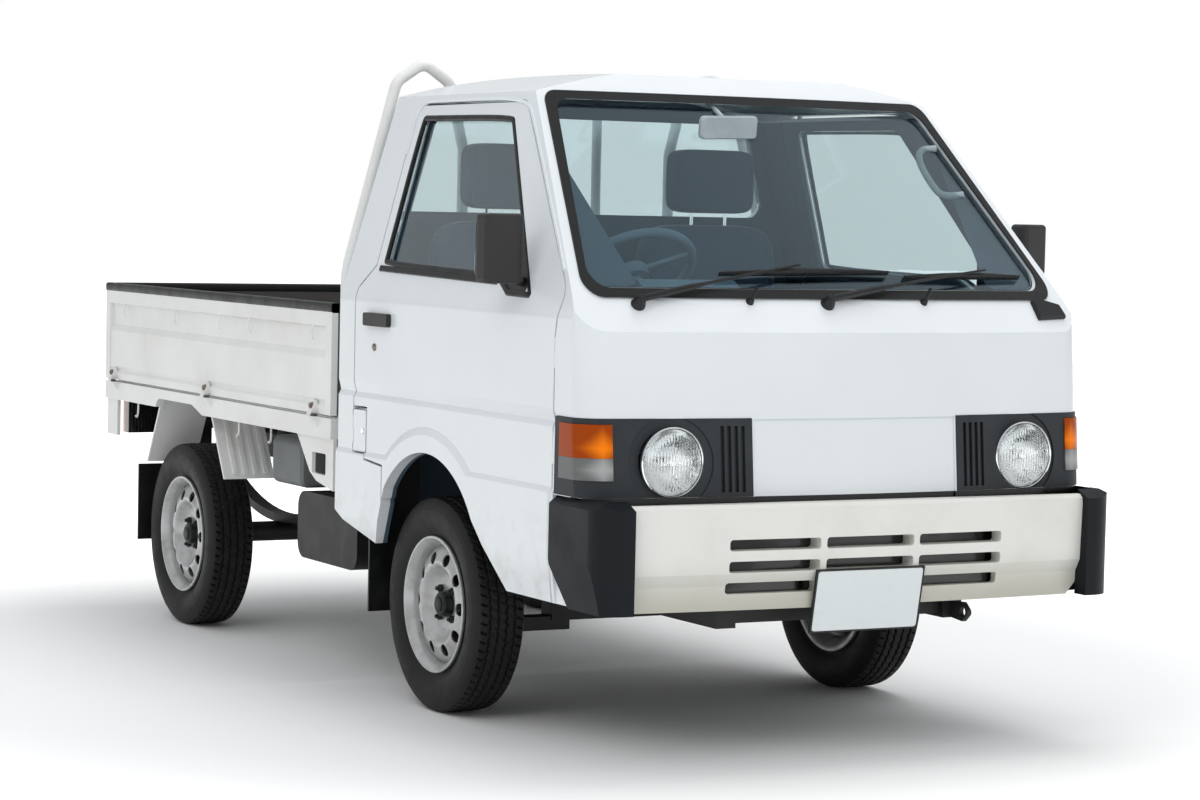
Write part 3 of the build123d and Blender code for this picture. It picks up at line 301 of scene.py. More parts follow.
def finish_of(name, **sockets):
    """New material: its tree, its main shader with plain values set, and Object coordinates."""
    material = bpy.data.materials.new(name)
    material.use_nodes = True
    tree = material.node_tree
    shader = tree.nodes["Principled BSDF"]
    for key, value in sockets.items():
        shader.inputs[key.replace("_", " ")].default_value = value
    return material, tree, shader, add(tree, "TexCoord")["Object"]


def link(tree, shader, **sockets):
    """Links sockets to the shader's inputs of those names."""
    for key, socket in sockets.items():
        tree.links.new(socket, shader.inputs[key.replace("_", " ")])


def rgba(colour, share=1.0):
    """Linear colour or sRGB hex code, times a share, with full cover."""
    colour = linear(colour) if isinstance(colour, str) else colour
    return (*(np.array(colour) * share).tolist(), 1.0)


def layered(tree, colour, *layers):
    """Colour with layers of (mask, colour) laid over it in turn."""
    for mask, over in layers:
        colour = add(tree, "Mix", {"Factor": mask, "A": colour, "B": over}, data_type="RGBA")["Result"]
    return colour


def patches(tree, place, size_mm, low, high, detail=4.0, rough=0.55, stretch=(1, 1, 1)):
    """Mask of worn or dusty patches about size_mm wide: noise, cut off softly between low and high."""
    spread = add(tree, "Mapping", {"Vector": place, "Scale": stretch})[0]
    cloud = add(tree, "TexNoise", {"Vector": spread, "Scale": 1 / (size_mm * MM), "Detail": detail,
                                   "Roughness": rough})["Fac"]
    return add(tree, "MapRange", (cloud, low, high), interpolation_type="SMOOTHSTEP")[0]


def aged(tree, shader, mask, fresh, old, rough):
    """Colour from fresh to old, and roughness through its two values, as the mask goes from 0 to 1."""
    link(tree, shader, Base_Color=layered(tree, fresh, (mask, old)),
         Roughness=add(tree, "MapRange", (mask, 0.0, 1.0, *rough))[0])


def pitted(tree, place, size_mm, depth_mm, strength, detail=2.0):
    """Normal of a surface with bumps about size_mm wide and depth_mm deep."""
    cloud = add(tree, "TexNoise", {"Vector": place, "Scale": 1 / (size_mm * MM), "Detail": detail,
                                   "Roughness": 0.55})["Fac"]
    return add(tree, "Bump", {"Height": cloud, "Distance": depth_mm * MM, "Strength": strength})[0]


def ribbed(tree, place):
    """Normal of a lens with upright ribs moulded on it, 6 mm wide and 0.6 mm deep."""
    wave = add(tree, "TexWave", {"Vector": place, "Scale": WAVE / (6 * MM)}, bands_direction="Y")["Fac"]
    return add(tree, "Bump", {"Height": wave, "Distance": 0.6 * MM, "Strength": 0.35})[0]


def depth_inside(tree, place):
    """Depth in metres below the cab's outer faces: the least of the depths below each face.

    A face's depth is its first three numbers times x, |y| and z, plus its last three times y squared,
    the height over the belt and one.
    """
    x, y, z = add(tree, "SeparateXYZ", (place,))
    wide = add(tree, "Math", (y,), operation="ABSOLUTE")[0]
    square = add(tree, "Math", (y, y), operation="MULTIPLY")[0]
    over_belt = add(tree, "Math", (z, BELT_Z * MM), operation="SUBTRACT")[0]
    over_belt = add(tree, "Math", (over_belt, 0.0), operation="MAXIMUM")[0]
    terms = (add(tree, "CombineXYZ", (x, wide, z))[0], add(tree, "CombineXYZ", (square, over_belt, 1.0))[0])
    depth = 1.0
    for face in CAB_FACES:
        sums = [add(tree, "VectorMath", pair, operation="DOT_PRODUCT")["Value"]
                for pair in zip(terms, (face[:3], face[3:]))]
        below = add(tree, "Math", sums, operation="ADD")[0]
        depth = add(tree, "Math", (depth, below), operation="MINIMUM")[0]
    return depth


def lined(tree, shader, place, paint):
    """Paint outside, matt grey lining on the inside, from 25 mm below the outer faces."""
    inside = add(tree, "MapRange", (depth_inside(tree, place), 0.024, 0.026),
                 interpolation_type="SMOOTHSTEP")[0]
    aged(tree, shader, inside, paint, rgba(colours().lining), (0.24, 0.7))
    link(tree, shader, Coat_Weight=add(tree, "MapRange", (inside, 0.0, 1.0, 0.25, 0.0))[0])


def cab_enamel(name, front=False):
    """Baked acrylic enamel on pressed steel: even and glossy, with faint orange peel.

    Low down, road dust and painted shade darken it in patches. On the front panel it is black behind the
    bumper's slots, which is painted shade.
    """
    cab = colours().cab
    material, tree, shader, place = finish_of(name, Roughness=0.24, IOR=1.5, Coat_Weight=0.25,
                                              Coat_Roughness=0.06)
    x, _, z = add(tree, "SeparateXYZ", (place,))
    if front:
        # painted shade: near black on the front panel below the bumper's top, seen through its slots
        stain_and_shade, low = "#070707", (z, 0.7040, 0.7035)
        where = add(tree, "MapRange", (x, 1.690, 1.692), interpolation_type="SMOOTHSTEP")[0]
    else:
        # road dust and painted shade: darker and dust-coloured low down, in patches
        stain_and_shade, low = "#B9B3A4", (z, 0.75, 0.42, 0.0, 0.35)
        where = patches(tree, place, 60, 0.42, 0.75)
    low = add(tree, "MapRange", low, interpolation_type="SMOOTHSTEP")[0]
    where = add(tree, "Math", (low, where), operation="MULTIPLY")[0]
    uneven = patches(tree, place, 400, 0.3, 0.7, 2.0)
    lined(tree, shader, place, layered(tree, rgba(cab), (uneven, rgba(cab, 0.965)), (where, rgba(stain_and_shade))))
    link(tree, shader, Normal=pitted(tree, place, 4.0, 0.05, 0.25))
    return material


def bed_enamel(name, inside=None, base=None, soiling_and_shade_heights=None):
    """Aged enamel on folded steel: chalky off-white with rust at edges, runs and chips.

    inside gives (axis, from, to): where the worn dark paint of the load side begins. The last argument
    gives the heights between which road soiling and painted shade come in, darker towards the bottom.
    """
    c = colours()
    base = base or c.bed
    material, tree, shader, place = finish_of(name, IOR=1.5)
    split = add(tree, "SeparateXYZ", (place,))
    blot, fine = (add(tree, "TexNoise", {"Vector": place, "Scale": 1 / (size_mm * MM), "Detail": 5.0,
                                         "Roughness": rough})["Fac"]
                  for size_mm, rough in ((220, 0.6), (14, 0.65)))
    faded, blotched, chipped, around = (add(tree, "MapRange", span, interpolation_type="SMOOTHSTEP")[0]
                                        for span in ((blot, 0.35, 0.75), (blot, 0.56, 0.7, 0.0, 0.3),
                                                     (fine, 0.70, 0.76), (blot, 0.52, 0.66)))
    runs = patches(tree, place, 16, 0.55, 0.75, 3.0, 0.6, (1, 1, 0.12))
    stain_and_shade = add(tree, "Math", (blotched, runs), operation="MULTIPLY")[0]
    spots = add(tree, "Math", (chipped, around), operation="MULTIPLY")[0]
    paint = layered(tree, rgba(base), (faded, rgba(base, (0.93, 0.92, 0.89))), (stain_and_shade, rgba("#A9977C")),
                    (spots, rgba(c.rust)))
    rough = add(tree, "MapRange", (blot, 0.2, 0.8, 0.32, 0.5))[0]
    if soiling_and_shade_heights:
        # road soiling and painted shade: darker and greyer towards the bumper's bottom
        soiling_and_shade = add(tree, "MapRange", (split["Z"], *soiling_and_shade_heights, 0.0, 0.75), interpolation_type="SMOOTHSTEP")[0]
        paint = layered(tree, paint, (soiling_and_shade, rgba("#A8A595")))
    if inside:
        axis, low, high = inside
        value = add(tree, "Math", (split["Y"],), operation="ABSOLUTE")[0] if axis == "Y" else split[axis]
        within = add(tree, "MapRange", (value, low, high), interpolation_type="SMOOTHSTEP")[0]
        scraped = patches(tree, place, 30, 0.5, 0.72, 6.0, 0.7, (0.2, 1, 1))
        rusty = add(tree, "Math", (spots, 0.8), operation="MULTIPLY")[0]
        dark = layered(tree, rgba(c.worn), (scraped, rgba("#4B4038")), (rusty, rgba(c.rust)))
        paint = layered(tree, paint, (within, dark))
        rough = add(tree, "Math", (within, 0.2, rough), operation="MULTIPLY_ADD")[0]
    link(tree, shader, Base_Color=paint, Roughness=rough,
         Normal=add(tree, "Bump", {"Height": fine, "Distance": 0.25 * MM, "Strength": 0.2})[0])
    return material


def chassis_paint(name):
    """Chassis black over steel: satin, dusted and pitted with a little rust."""
    material, tree, shader, place = finish_of(name, IOR=1.5)
    blot = add(tree, "TexNoise", {"Vector": place, "Scale": 1 / (90 * MM), "Detail": 5.0,
                                  "Roughness": 0.6})["Fac"]
    dust = add(tree, "MapRange", (blot, 0.45, 0.8), interpolation_type="SMOOTHSTEP")[0]
    link(tree, shader, Base_Color=layered(tree, rgba(colours().chassis), (dust, rgba("#2B2723"))),
         Roughness=add(tree, "MapRange", (blot, 0.0, 1.0, 0.42, 0.7))[0],
         Normal=pitted(tree, place, 8, 0.4, 0.3, 4.0))
    return material


def moulded_plastic(name, colour, grain_mm=2.2, rough=0.48, gloss=0.5):
    """Injection-moulded polypropylene: leather-like grain, drawn coarse enough to show, and faded patches."""
    material, tree, shader, place = finish_of(name, IOR=1.48, Specular_IOR_Level=gloss)
    faded = patches(tree, place, 130, 0.35, 0.75, 3.0)
    aged(tree, shader, faded, rgba(colour), rgba(colour, 1.28), (rough, rough + 0.1))
    cells = add(tree, "TexVoronoi", {"Vector": place, "Scale": 1 / (grain_mm * MM)})["Distance"]
    link(tree, shader, Normal=add(tree, "Bump", {"Height": cells, "Distance": 0.12 * MM,
                                                 "Strength": 0.35})[0])
    return material


def black_rubber(name):
    """EPDM rubber: dark, matt, a little bloomed."""
    material, tree, shader, place = finish_of(name, IOR=1.5, Specular_IOR_Level=0.35)
    dark = np.array(colours().rubber)
    aged(tree, shader, patches(tree, place, 50, 0.4, 0.8), rgba(dark), rgba(dark * 1.7 + 0.002),
         (0.42, 0.6))
    return material


def tyre_rubber(name):
    """Vulcanised tyre rubber: near black, matt, greyed by road dust."""
    material, tree, shader, place = finish_of(name, IOR=1.5, Specular_IOR_Level=0.3)
    dust = patches(tree, place, 40, 0.4, 0.85, 5.0, 0.6)
    aged(tree, shader, dust, rgba(colours().tyre), rgba("#201F1E"), (0.55, 0.75))
    link(tree, shader, Normal=pitted(tree, place, 2.5, 0.2, 0.25, 3.0))
    return material


def wheel_paint(name):
    """Silver enamel on a pressed steel wheel: flaked, dulled by brake dust."""
    material, tree, shader, place = finish_of(name, Metallic=0.55, IOR=1.5)
    dust = patches(tree, place, 45, 0.4, 0.8, 5.0, 0.6)
    aged(tree, shader, dust, rgba(colours().rim), rgba("#A19F9A"), (0.3, 0.42))
    link(tree, shader, Normal=pitted(tree, place, 1.5, 0.05, 0.3))
    return material


def bare_steel(name):
    """Zinc-plated steel gone dull and brown at the edges."""
    material, tree, shader, place = finish_of(name, Metallic=0.8)
    rusty = patches(tree, place, 12, 0.45, 0.7, 5.0, 0.6)
    aged(tree, shader, rusty, rgba("#8A8780"), rgba(colours().rust), (0.35, 0.7))
    return material


def chromed(name):
    """Chrome plate on brass or an aluminised reflector: bright and smooth with a faint haze."""
    material, tree, shader, place = finish_of(name, Metallic=1.0, Base_Color=rgba("#E3E5E6"))
    haze = add(tree, "TexNoise", {"Vector": place, "Scale": 1 / (25 * MM), "Detail": 4.0,
                                  "Roughness": 0.55})["Fac"]
    link(tree, shader, Roughness=add(tree, "MapRange", (haze, 0.0, 1.0, 0.06, 0.16))[0])
    return material


def see_through(name, colour, shine="#FFFFFF"):
    """Clear glass or acrylic: a smooth transmitting body that lets lamp rays through.

    shine tints what it reflects at a steep angle, as on glass with a blue sun filter.
    """
    material, tree, shader, _ = finish_of(name, Base_Color=rgba(colour), Roughness=0.0, IOR=1.5,
                                          Transmission_Weight=1.0, Specular_Tint=rgba(shine))
    open_way = add(tree, "BsdfTransparent", {"Color": rgba(colour)})[0]
    shadow = add(tree, "LightPath")["Is Shadow Ray"]
    both = add(tree, "MixShader", (shadow, shader.outputs[0], open_way))[0]
    tree.links.new(both, tree.nodes["Material Output"].inputs["Surface"])
    return material


def ribbed_lens(name, colour, middle_z, painted_shade_share):
    """Coloured acrylic lens with upright ribs: glossy, with a painted highlight round its bulb at LAMP_Y and
    middle_z and painted shade away.
    """
    material, tree, shader, place = finish_of(name, Roughness=0.25, IOR=1.49, Specular_IOR_Level=0.12)
    away = add(tree, "VectorMath", (place,), operation="ABSOLUTE")[0]
    away = add(tree, "VectorMath", (away, (0, LAMP_Y * MM, middle_z)), operation="SUBTRACT")[0]
    away = add(tree, "VectorMath", (away,), operation="ABSOLUTE")[0]
    away = add(tree, "VectorMath", (away, (0, 1, 1)), operation="DOT_PRODUCT")["Value"]
    # painted highlight of the reflector round the bulb, over painted shade elsewhere on the lens
    painted_glow = add(tree, "MapRange", (away, 0.065, 0.0), interpolation_type="SMOOTHSTEP")[0]
    painted_highlight = np.minimum(1, rgba(colour, 1.2)).tolist()
    link(tree, shader, Base_Color=layered(tree, rgba(colour, painted_shade_share), (painted_glow, painted_highlight)),
         Normal=ribbed(tree, place))
    return material


def tail_lens(name):
    """Acrylic tail lamp: red, amber at its outer end and clear at its inner end, in a black housing."""
    c = colours()
    material, tree, shader, place = finish_of(name, Roughness=0.12, IOR=1.49, Coat_Weight=0.5,
                                              Coat_Roughness=0.03)
    x, y, _ = add(tree, "SeparateXYZ", (place,))
    y = add(tree, "Math", (y,), operation="ABSOLUTE")[0]
    outer, inner, housing = (add(tree, "MapRange", span, interpolation_type="SMOOTHSTEP")[0]
                             for span in ((y, 0.675, 0.677), (y, 0.612, 0.610), (x, -1.846, -1.844)))
    hue = layered(tree, rgba(c.red), (outer, rgba(c.amber)), (inner, rgba("#C9CBCB")),
                  (housing, rgba("#121314")))
    link(tree, shader, Base_Color=hue, Normal=ribbed(tree, place))
    return material


def seat_fabric(name):
    """Woven polyester seat cloth: blue-grey basket weave, its threads 3 mm wide so that they show."""
    seat = colours().seat
    material, tree, shader, place = finish_of(name, Roughness=0.9, IOR=1.45, Sheen_Weight=0.35,
                                              Sheen_Roughness=0.4)
    threads = [add(tree, "TexWave", {"Vector": place, "Scale": WAVE / (3 * MM)}, bands_direction=way)["Fac"]
               for way in "YZ"]
    weave = add(tree, "Math", threads, operation="MULTIPLY")[0]
    link(tree, shader, Base_Color=layered(tree, rgba(seat, 0.7), (weave, rgba(seat, 1.15))),
         Normal=add(tree, "Bump", {"Height": weave, "Distance": 0.4 * MM, "Strength": 0.4})[0])
    return material


def blank_plate(name):
    """Painted aluminium plate: pale, satin, slightly scuffed."""
    plate = colours().plate
    material, tree, shader, place = finish_of(name, Roughness=0.4, IOR=1.5)
    scuffed = patches(tree, place, 30, 0.5, 0.85, 5.0)
    link(tree, shader, Base_Color=layered(tree, rgba(plate), (scuffed, rgba(plate, 0.93))))
    return material


FINISHES = {
    "cab_enamel": cab_enamel,
    "front_enamel": lambda name: cab_enamel(name, front=True),
    "bed_enamel": bed_enamel,
    "deck_enamel": lambda name: bed_enamel(name, ("Z", 0.7985, 0.7992)),
    "side_gate_enamel": lambda name: bed_enamel(name, ("Y", 0.7765, 0.7755)),
    "rear_gate_enamel": lambda name: bed_enamel(name, ("X", -1.848, -1.8465)),
    # The bumper darkens low down: road soiling and painted shade.
    "bumper_enamel": lambda name: bed_enamel(name, base="#E4E4DF", soiling_and_shade_heights=(0.56, 0.40)),
    "chassis_black_paint": chassis_paint,
    "charcoal_panel_plastic": lambda name: moulded_plastic(name, colours().plastic, gloss=0.3),
    "bumper_corner_plastic": lambda name: moulded_plastic(name, colours().corner, 3.0, 0.42, 0.18),
    "mirror_shell_plastic": lambda name: moulded_plastic(name, colours().mirror, gloss=0.35),
    "inner_trim_plastic": lambda name: moulded_plastic(name, colours().trim, 3.0, 0.6),
    "pale_trim_plastic": lambda name: moulded_plastic(name, "#98A4A9", 3.0, 0.5),
    "service_box_plastic": lambda name: moulded_plastic(name, "#6E7272", 3.0, 0.6),
    "wiper_black_plastic": lambda name: moulded_plastic(name, "#141517", 2.0, 0.42, 0.4),
    "black_epdm_rubber": black_rubber,
    "tyre_rubber_compound": tyre_rubber,
    "silver_wheel_enamel": wheel_paint,
    "dull_plated_steel": bare_steel,
    "chrome_plate": chromed,
    "window_glass": lambda name: see_through(name, colours().glass, "#C8E8FF"),
    "lamp_glass_clear": lambda name: see_through(name, "#F2F4F4"),
    # Each lens's last number is its painted shade away from the bulb.
    "amber_acrylic": lambda name: ribbed_lens(name, colours().amber, 0.832, (0.4, 0.27, 0.4)),
    "clear_acrylic": lambda name: ribbed_lens(name, "#A0A1A1", 0.776, 0.45),
    "tail_lamp_acrylic": tail_lens,
    "woven_seat_cloth": seat_fabric,
    "painted_plate": blank_plate,
}


def finish(name):
    """The material of that name, made on first use."""
    return bpy.data.materials.get(name) or FINISHES[name](name)


NODE_FINISH = {
    "cab_enamel": ("cab_side_right", "cab_side_left", "cab_back", "cab_roof", "door_right", "door_left",
                   "fuel_lid"),
    "front_enamel": ("cab_front",),
    "deck_enamel": ("bed_deck",),
    "bed_enamel": ("front_guard", "rear_mudguards"),
    "bumper_enamel": ("bumper",),
    "side_gate_enamel": ("gate_right", "gate_left"),
    "rear_gate_enamel": ("gate_rear",),
    "chassis_black_paint": ("frame_rail_right", "frame_rail_left", "cross_members", "front_suspension",
                            "rear_axle", "engine", "propeller_shaft", "fuel_tank", "exhaust", "cab_floor",
                            "bed_bearers", "knuckle_right", "knuckle_left", "number_plate"),
    "charcoal_panel_plastic": ("lamp_panels",),
    "bumper_corner_plastic": ("bumper_corners",),
    "mirror_shell_plastic": ("door_mirror_right", "door_mirror_left", "door_handle_right",
                             "door_handle_left"),
    "inner_trim_plastic": ("dashboard", "steering_wheel"),
    "service_box_plastic": ("service_box",),
    "black_epdm_rubber": ("windscreen_rubber", "mud_flaps", "wipers"),
    "window_glass": ("windscreen", "rear_glass", "door_glass_right", "door_glass_left"),
    "amber_acrylic": ("turn_lamps",),
    "clear_acrylic": ("side_lamps",),
    "tail_lamp_acrylic": ("tail_lamps",),
}
# Angle in degrees from which an edge is sharp, where it isn't PLAIN_CREASE.
CREASE = {"cab_enamel": 11, "side_gate_enamel": 11, "rear_gate_enamel": 11, "bumper_enamel": 11,
          "bumper_corner_plastic": 14}
PLAIN_CREASE = 28


class TRUCK_OT_paint(bpy.types.Operator):
    """Give every frame node its finish, with smooth shading over curved faces"""

    bl_idname = "truck.paint"
    bl_label = "Paint the frame"

    def execute(self, context):
        for name, nodes in NODE_FINISH.items():
            for node in nodes:
                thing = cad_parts[node]
                for slot in thing.material_slots:
                    slot.material = finish(name)
                thing.data.polygons.foreach_set("use_smooth", np.ones(len(thing.data.polygons), bool))
                thing.modifiers.new("weld", "WELD").merge_threshold = 0.01 * MM
                angle = np.radians(CREASE.get(name, PLAIN_CREASE))
                thing.modifiers.new("edges", "EDGE_SPLIT").split_angle = angle
                thing.modifiers.new("normals", "WEIGHTED_NORMAL").weight = 100
        return {"FINISHED"}


class TRUCK_OT_tyres(bpy.types.Operator):
    """Make the four tyres with their ribs, blocks and grooves"""

    bl_idname = "truck.tyres"
    bl_label = "Tyres"

    # Side wall as (radius in mm, share of half the width) on a tyre of the nominal radius.
    WALL = ((178.6, 0.72), (192, 0.755), (206, 0.80), (225, 0.93), (250, 0.995), (268, 0.99), (284, 0.95),
            (296, 0.885), (303, 0.82))
    NOMINAL = 308 * MM
    # Grooves round the tread: place and half width as shares of half the tyre's width.
    GROOVES = ((-0.48, 0.052), (-0.165, 0.045), (0.165, 0.045), (0.48, 0.052))
    # Radii of the rings on the side walls, and how high and wide they are.
    RINGS, RING_HEIGHT, RING_WIDTH = np.array((269, 216)) * MM, 0.9 * MM, 1.6 * MM
    STEPS = 540

    def execute(self, context):
        for wheel, _ in WHEELS:
            node = f"tyre_{wheel}"
            low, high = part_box(node)
            radius, half = (high.z - low.z) / 2, (high.y - low.y) / 2
            piece(f"road_tyre_{wheel}", [self.tyre(middle(node), radius, half)],
                  finish("tyre_rubber_compound"), f"wheel_{wheel}", (node,), sharp=40)
        return {"FINISHED"}

    def tyre(self, centre, radius, half):
        """Section of the tyre carried round the axle.

        The section runs from bead to bead. In the tread band the radius drops by the groove depth
        where a rib groove runs round, bent to and fro by a triangle wave of the angle, or where
        a slanted sipe crosses a rib. Two low rings stand out on each side wall.
        """
        s = sizes()
        wall = softened(self.WALL, rounds=2) * (MM * radius / self.NOMINAL, half)
        tread = np.linspace(-0.79, 0.79, 61) * half
        crown = radius - 1.5 * MM * (tread / half) ** 2 - 3.0 * MM * (np.abs(tread) / half / 0.8) ** 8
        section = np.concatenate([wall * (1, -1), np.stack([crown, tread], 1), wall[::-1]])
        a = np.arange(self.STEPS) * 2 * np.pi / self.STEPS
        blocks = round(2 * np.pi * radius / s.tread_pitch)
        phase = (a[:, None] * blocks / (2 * np.pi)) % 1
        zigzag = (np.abs(phase * 2 - 1) * 2 - 1) * 0.028 * half
        across = section[None, :, 1] + 0 * phase
        band = (np.abs(section[:, 1]) < 0.80 * half) & (section[:, 0] > radius - 6.5 * MM)
        cut = np.zeros(across.shape)
        for line, width in self.GROOVES:
            gap = np.abs(across - line * half - zigzag) / half
            cut = np.maximum(cut, np.clip((width - gap) / 0.022, 0, 1))
        slant = (phase + across / half * 1.1) % 1
        sipe = np.clip((0.10 - np.abs(slant - 0.5)) / 0.05, 0, 1)
        shoulder = np.abs(across) > 0.60 * half
        cut = np.maximum(cut, np.where(shoulder, sipe,
                                       0.35 * np.clip((0.07 - np.abs(slant - 0.5)) / 0.05, 0, 1)))
        ring = np.exp(-((section[:, :1] - self.RINGS) / self.RING_WIDTH) ** 2).sum(1) * self.RING_HEIGHT
        outward = np.sign(section[:, 1]) * ring * (np.abs(section[:, 1]) / half > 0.7)
        r = section[None, :, 0] - s.tread_depth * cut * band
        y = across + outward[None] * (np.abs(section[None, :, 1]) < 0.985 * half)
        points = np.stack([r * np.cos(a)[:, None], y, r * np.sin(a)[:, None]], -1) + centre
        return grid(points, True, True)


class TRUCK_OT_wheel_discs(bpy.types.Operator):
    """Make the pressed steel wheels: barrel, dished disc and round vents, before a brake drum"""

    bl_idname = "truck.wheel_discs"
    bl_label = "Wheels"

    # Profiles as (radius, distance outwards from the wheel's middle) in mm.
    BARREL = ((196, -70), (196, -62), (178, -60), (160, -40), (160, 20), (178, 34), (178, 60), (194, 62),
              (196, 65), (196, 70), (194, 72), (190, 72), (186, 69), (175, 57), (171, 48), (168, 20),
              (155, 10), (155, -40), (172, -62), (188, -70))
    HUB = ((16, -20), (48, -20), (48, 21), (16, 21))
    DRUM = ((50, 14), (118, 14), (132, 10), (140, 0), (141, -44), (126, -46), (124, -4), (50, 2))
    DISH = ((45, 22), (72, 22), (84, 25), (98, 38), (107, 51), (115, 56), (126, 55), (146, 48), (160, 40),
            (170, 30))

    def execute(self, context):
        for wheel, side in WHEELS:
            centre = middle(f"tyre_{wheel}")
            out = np.array([0, side, 0])
            parts = [turned(np.array(self.BARREL) * MM, centre, out, 96, True),
                     turned(np.array(self.HUB) * MM, centre, out, 48, True)]
            parts += [(points * (1, side, 1) + centre, faces) for points, faces in self.disc()]
            piece(f"wheel_disc_{wheel}", parts, finish("silver_wheel_enamel"), f"wheel_{wheel}",
                  (f"rim_{wheel}",), sharp=32)
            drum = turned(np.array(self.DRUM) * MM, centre, out, 72, True)
            piece(f"brake_drum_{wheel}", [drum], finish("chassis_black_paint"), f"wheel_{wheel}")
        return {"FINISHED"}

    def disc(self):
        """Dished disc with round vents, about the origin with +Y outwards.

        The height comes from the radius through the dish profile. Each vent sits in a sector that is
        a rectangle of arc length and radius, filled by straight lines from the vent's edge to the
        rectangle's edge. Front and back sheets are a wall apart and join at every edge.
        """
        s = sizes()
        wall, low, high = 4 * MM, 108 * MM, 164 * MM
        half_turn = np.pi / s.vent_count
        wide, n = s.vent_circle * half_turn, 9
        run, rise = np.linspace(-wide, wide, n), np.linspace(low, high, n) - s.vent_circle
        edge = np.concatenate([np.stack([run, np.full(n, rise[0])], 1)[:-1],
                               np.stack([np.full(n, wide), rise], 1)[:-1],
                               np.stack([run[::-1], np.full(n, rise[-1])], 1)[:-1],
                               np.stack([np.full(n, -wide), rise[::-1]], 1)[:-1]])
        rim = unit(edge) * s.vent_radius
        share = np.linspace(0, 1, 6)[:, None, None]
        sheet = rim + (edge - rim) * share
        sheet = np.concatenate([sheet[::-1], sheet])
        back = np.repeat((1.0, 0.0), 6)[:, None] * wall
        turns = np.arange(s.vent_count) * 2 * half_turn
        parts = [grid(self.dished(s.vent_circle + sheet[..., 1], sheet[..., 0] / s.vent_circle + turn, back),
                      False, True) for turn in turns]
        around = (run[:-1] / s.vent_circle + turns[:, None]).ravel()
        for start, stop in ((low, 45 * MM), (high, 170 * MM)):
            line = np.linspace(start, stop, 14)
            line = np.concatenate([line, line[::-1]])
            back = np.repeat((1.0, 0.0), 14)[:, None] * wall
            parts.append(grid(self.dished(line[:, None] + 0 * around, around + 0 * line[:, None], back),
                              False, True))
        return parts

    def dished(self, radius, turn, back):
        """Points at a radius and turn about Y, at the dish profile's height less the wall at the back."""
        profile = softened(self.DISH, rounds=3) * MM
        height = np.interp(radius, profile[:, 0], profile[:, 1]) - back
        return np.stack([radius * np.cos(turn), height, radius * np.sin(turn)], -1)


class TRUCK_OT_wheel_trim(bpy.types.Operator):
    """Make the wheel nuts, hub caps and valves"""

    bl_idname = "truck.wheel_trim"
    bl_label = "Wheel nuts and caps"

    # A nut's (inset, height), and profiles as (radius, distance outwards), in mm.
    NUT = ((0, 21), (0, 33), (2, 36))
    STUD = ((0, 44), (4, 44), (6, 42), (6, 20), (0, 20))
    CAP = ((0, 57), (19, 57), (22, 55.5), (23, 52), (30, 51), (35, 46), (36, 40), (36.5, 28), (39, 24),
           (39, 21.5), (0, 21.5))
    VALVE = ((0, 34), (3, 34), (3.2, 22), (5.5, 16), (6, -6), (0, -6))
    VALVE_PLACE = (155, 30, 0)

    def execute(self, context):
        s = sizes()
        hexagon = circle(s.nut_radius, 6)
        up = np.array([1.0, 0, 0])
        turns = 2 * np.pi * (np.arange(s.nut_count) + 0.5) / s.nut_count
        for wheel, side in WHEELS:
            centre = middle(f"tyre_{wheel}")
            out = np.array([0, side, 0])
            nuts = []
            for turn in turns:
                spot = centre + s.nut_circle * np.array([np.cos(turn), 0, np.sin(turn)])
                nuts.append(raised(hexagon, np.array(self.NUT) * MM, spot, np.cross(up, out), up))
                nuts.append(turned(np.array(self.STUD) * MM, spot, out, 10))
            cap = turned(np.array(self.CAP) * MM, centre, out, 36)
            valve = turned(np.array(self.VALVE) * MM,
                           centre + np.array(self.VALVE_PLACE) * MM * (1, side, 1), out, 10)
            for name, parts, material, slot in (("wheel_nuts", nuts, "chassis_black_paint", "bare_steel"),
                                                ("hub_cap", [cap], "black_epdm_rubber", "charcoal_plastic"),
                                                ("tyre_valve", [valve], "black_epdm_rubber",
                                                 "black_rubber")):
                piece(f"{name}_{wheel}", parts, finish(material), f"wheel_{wheel}")
        return {"FINISHED"}


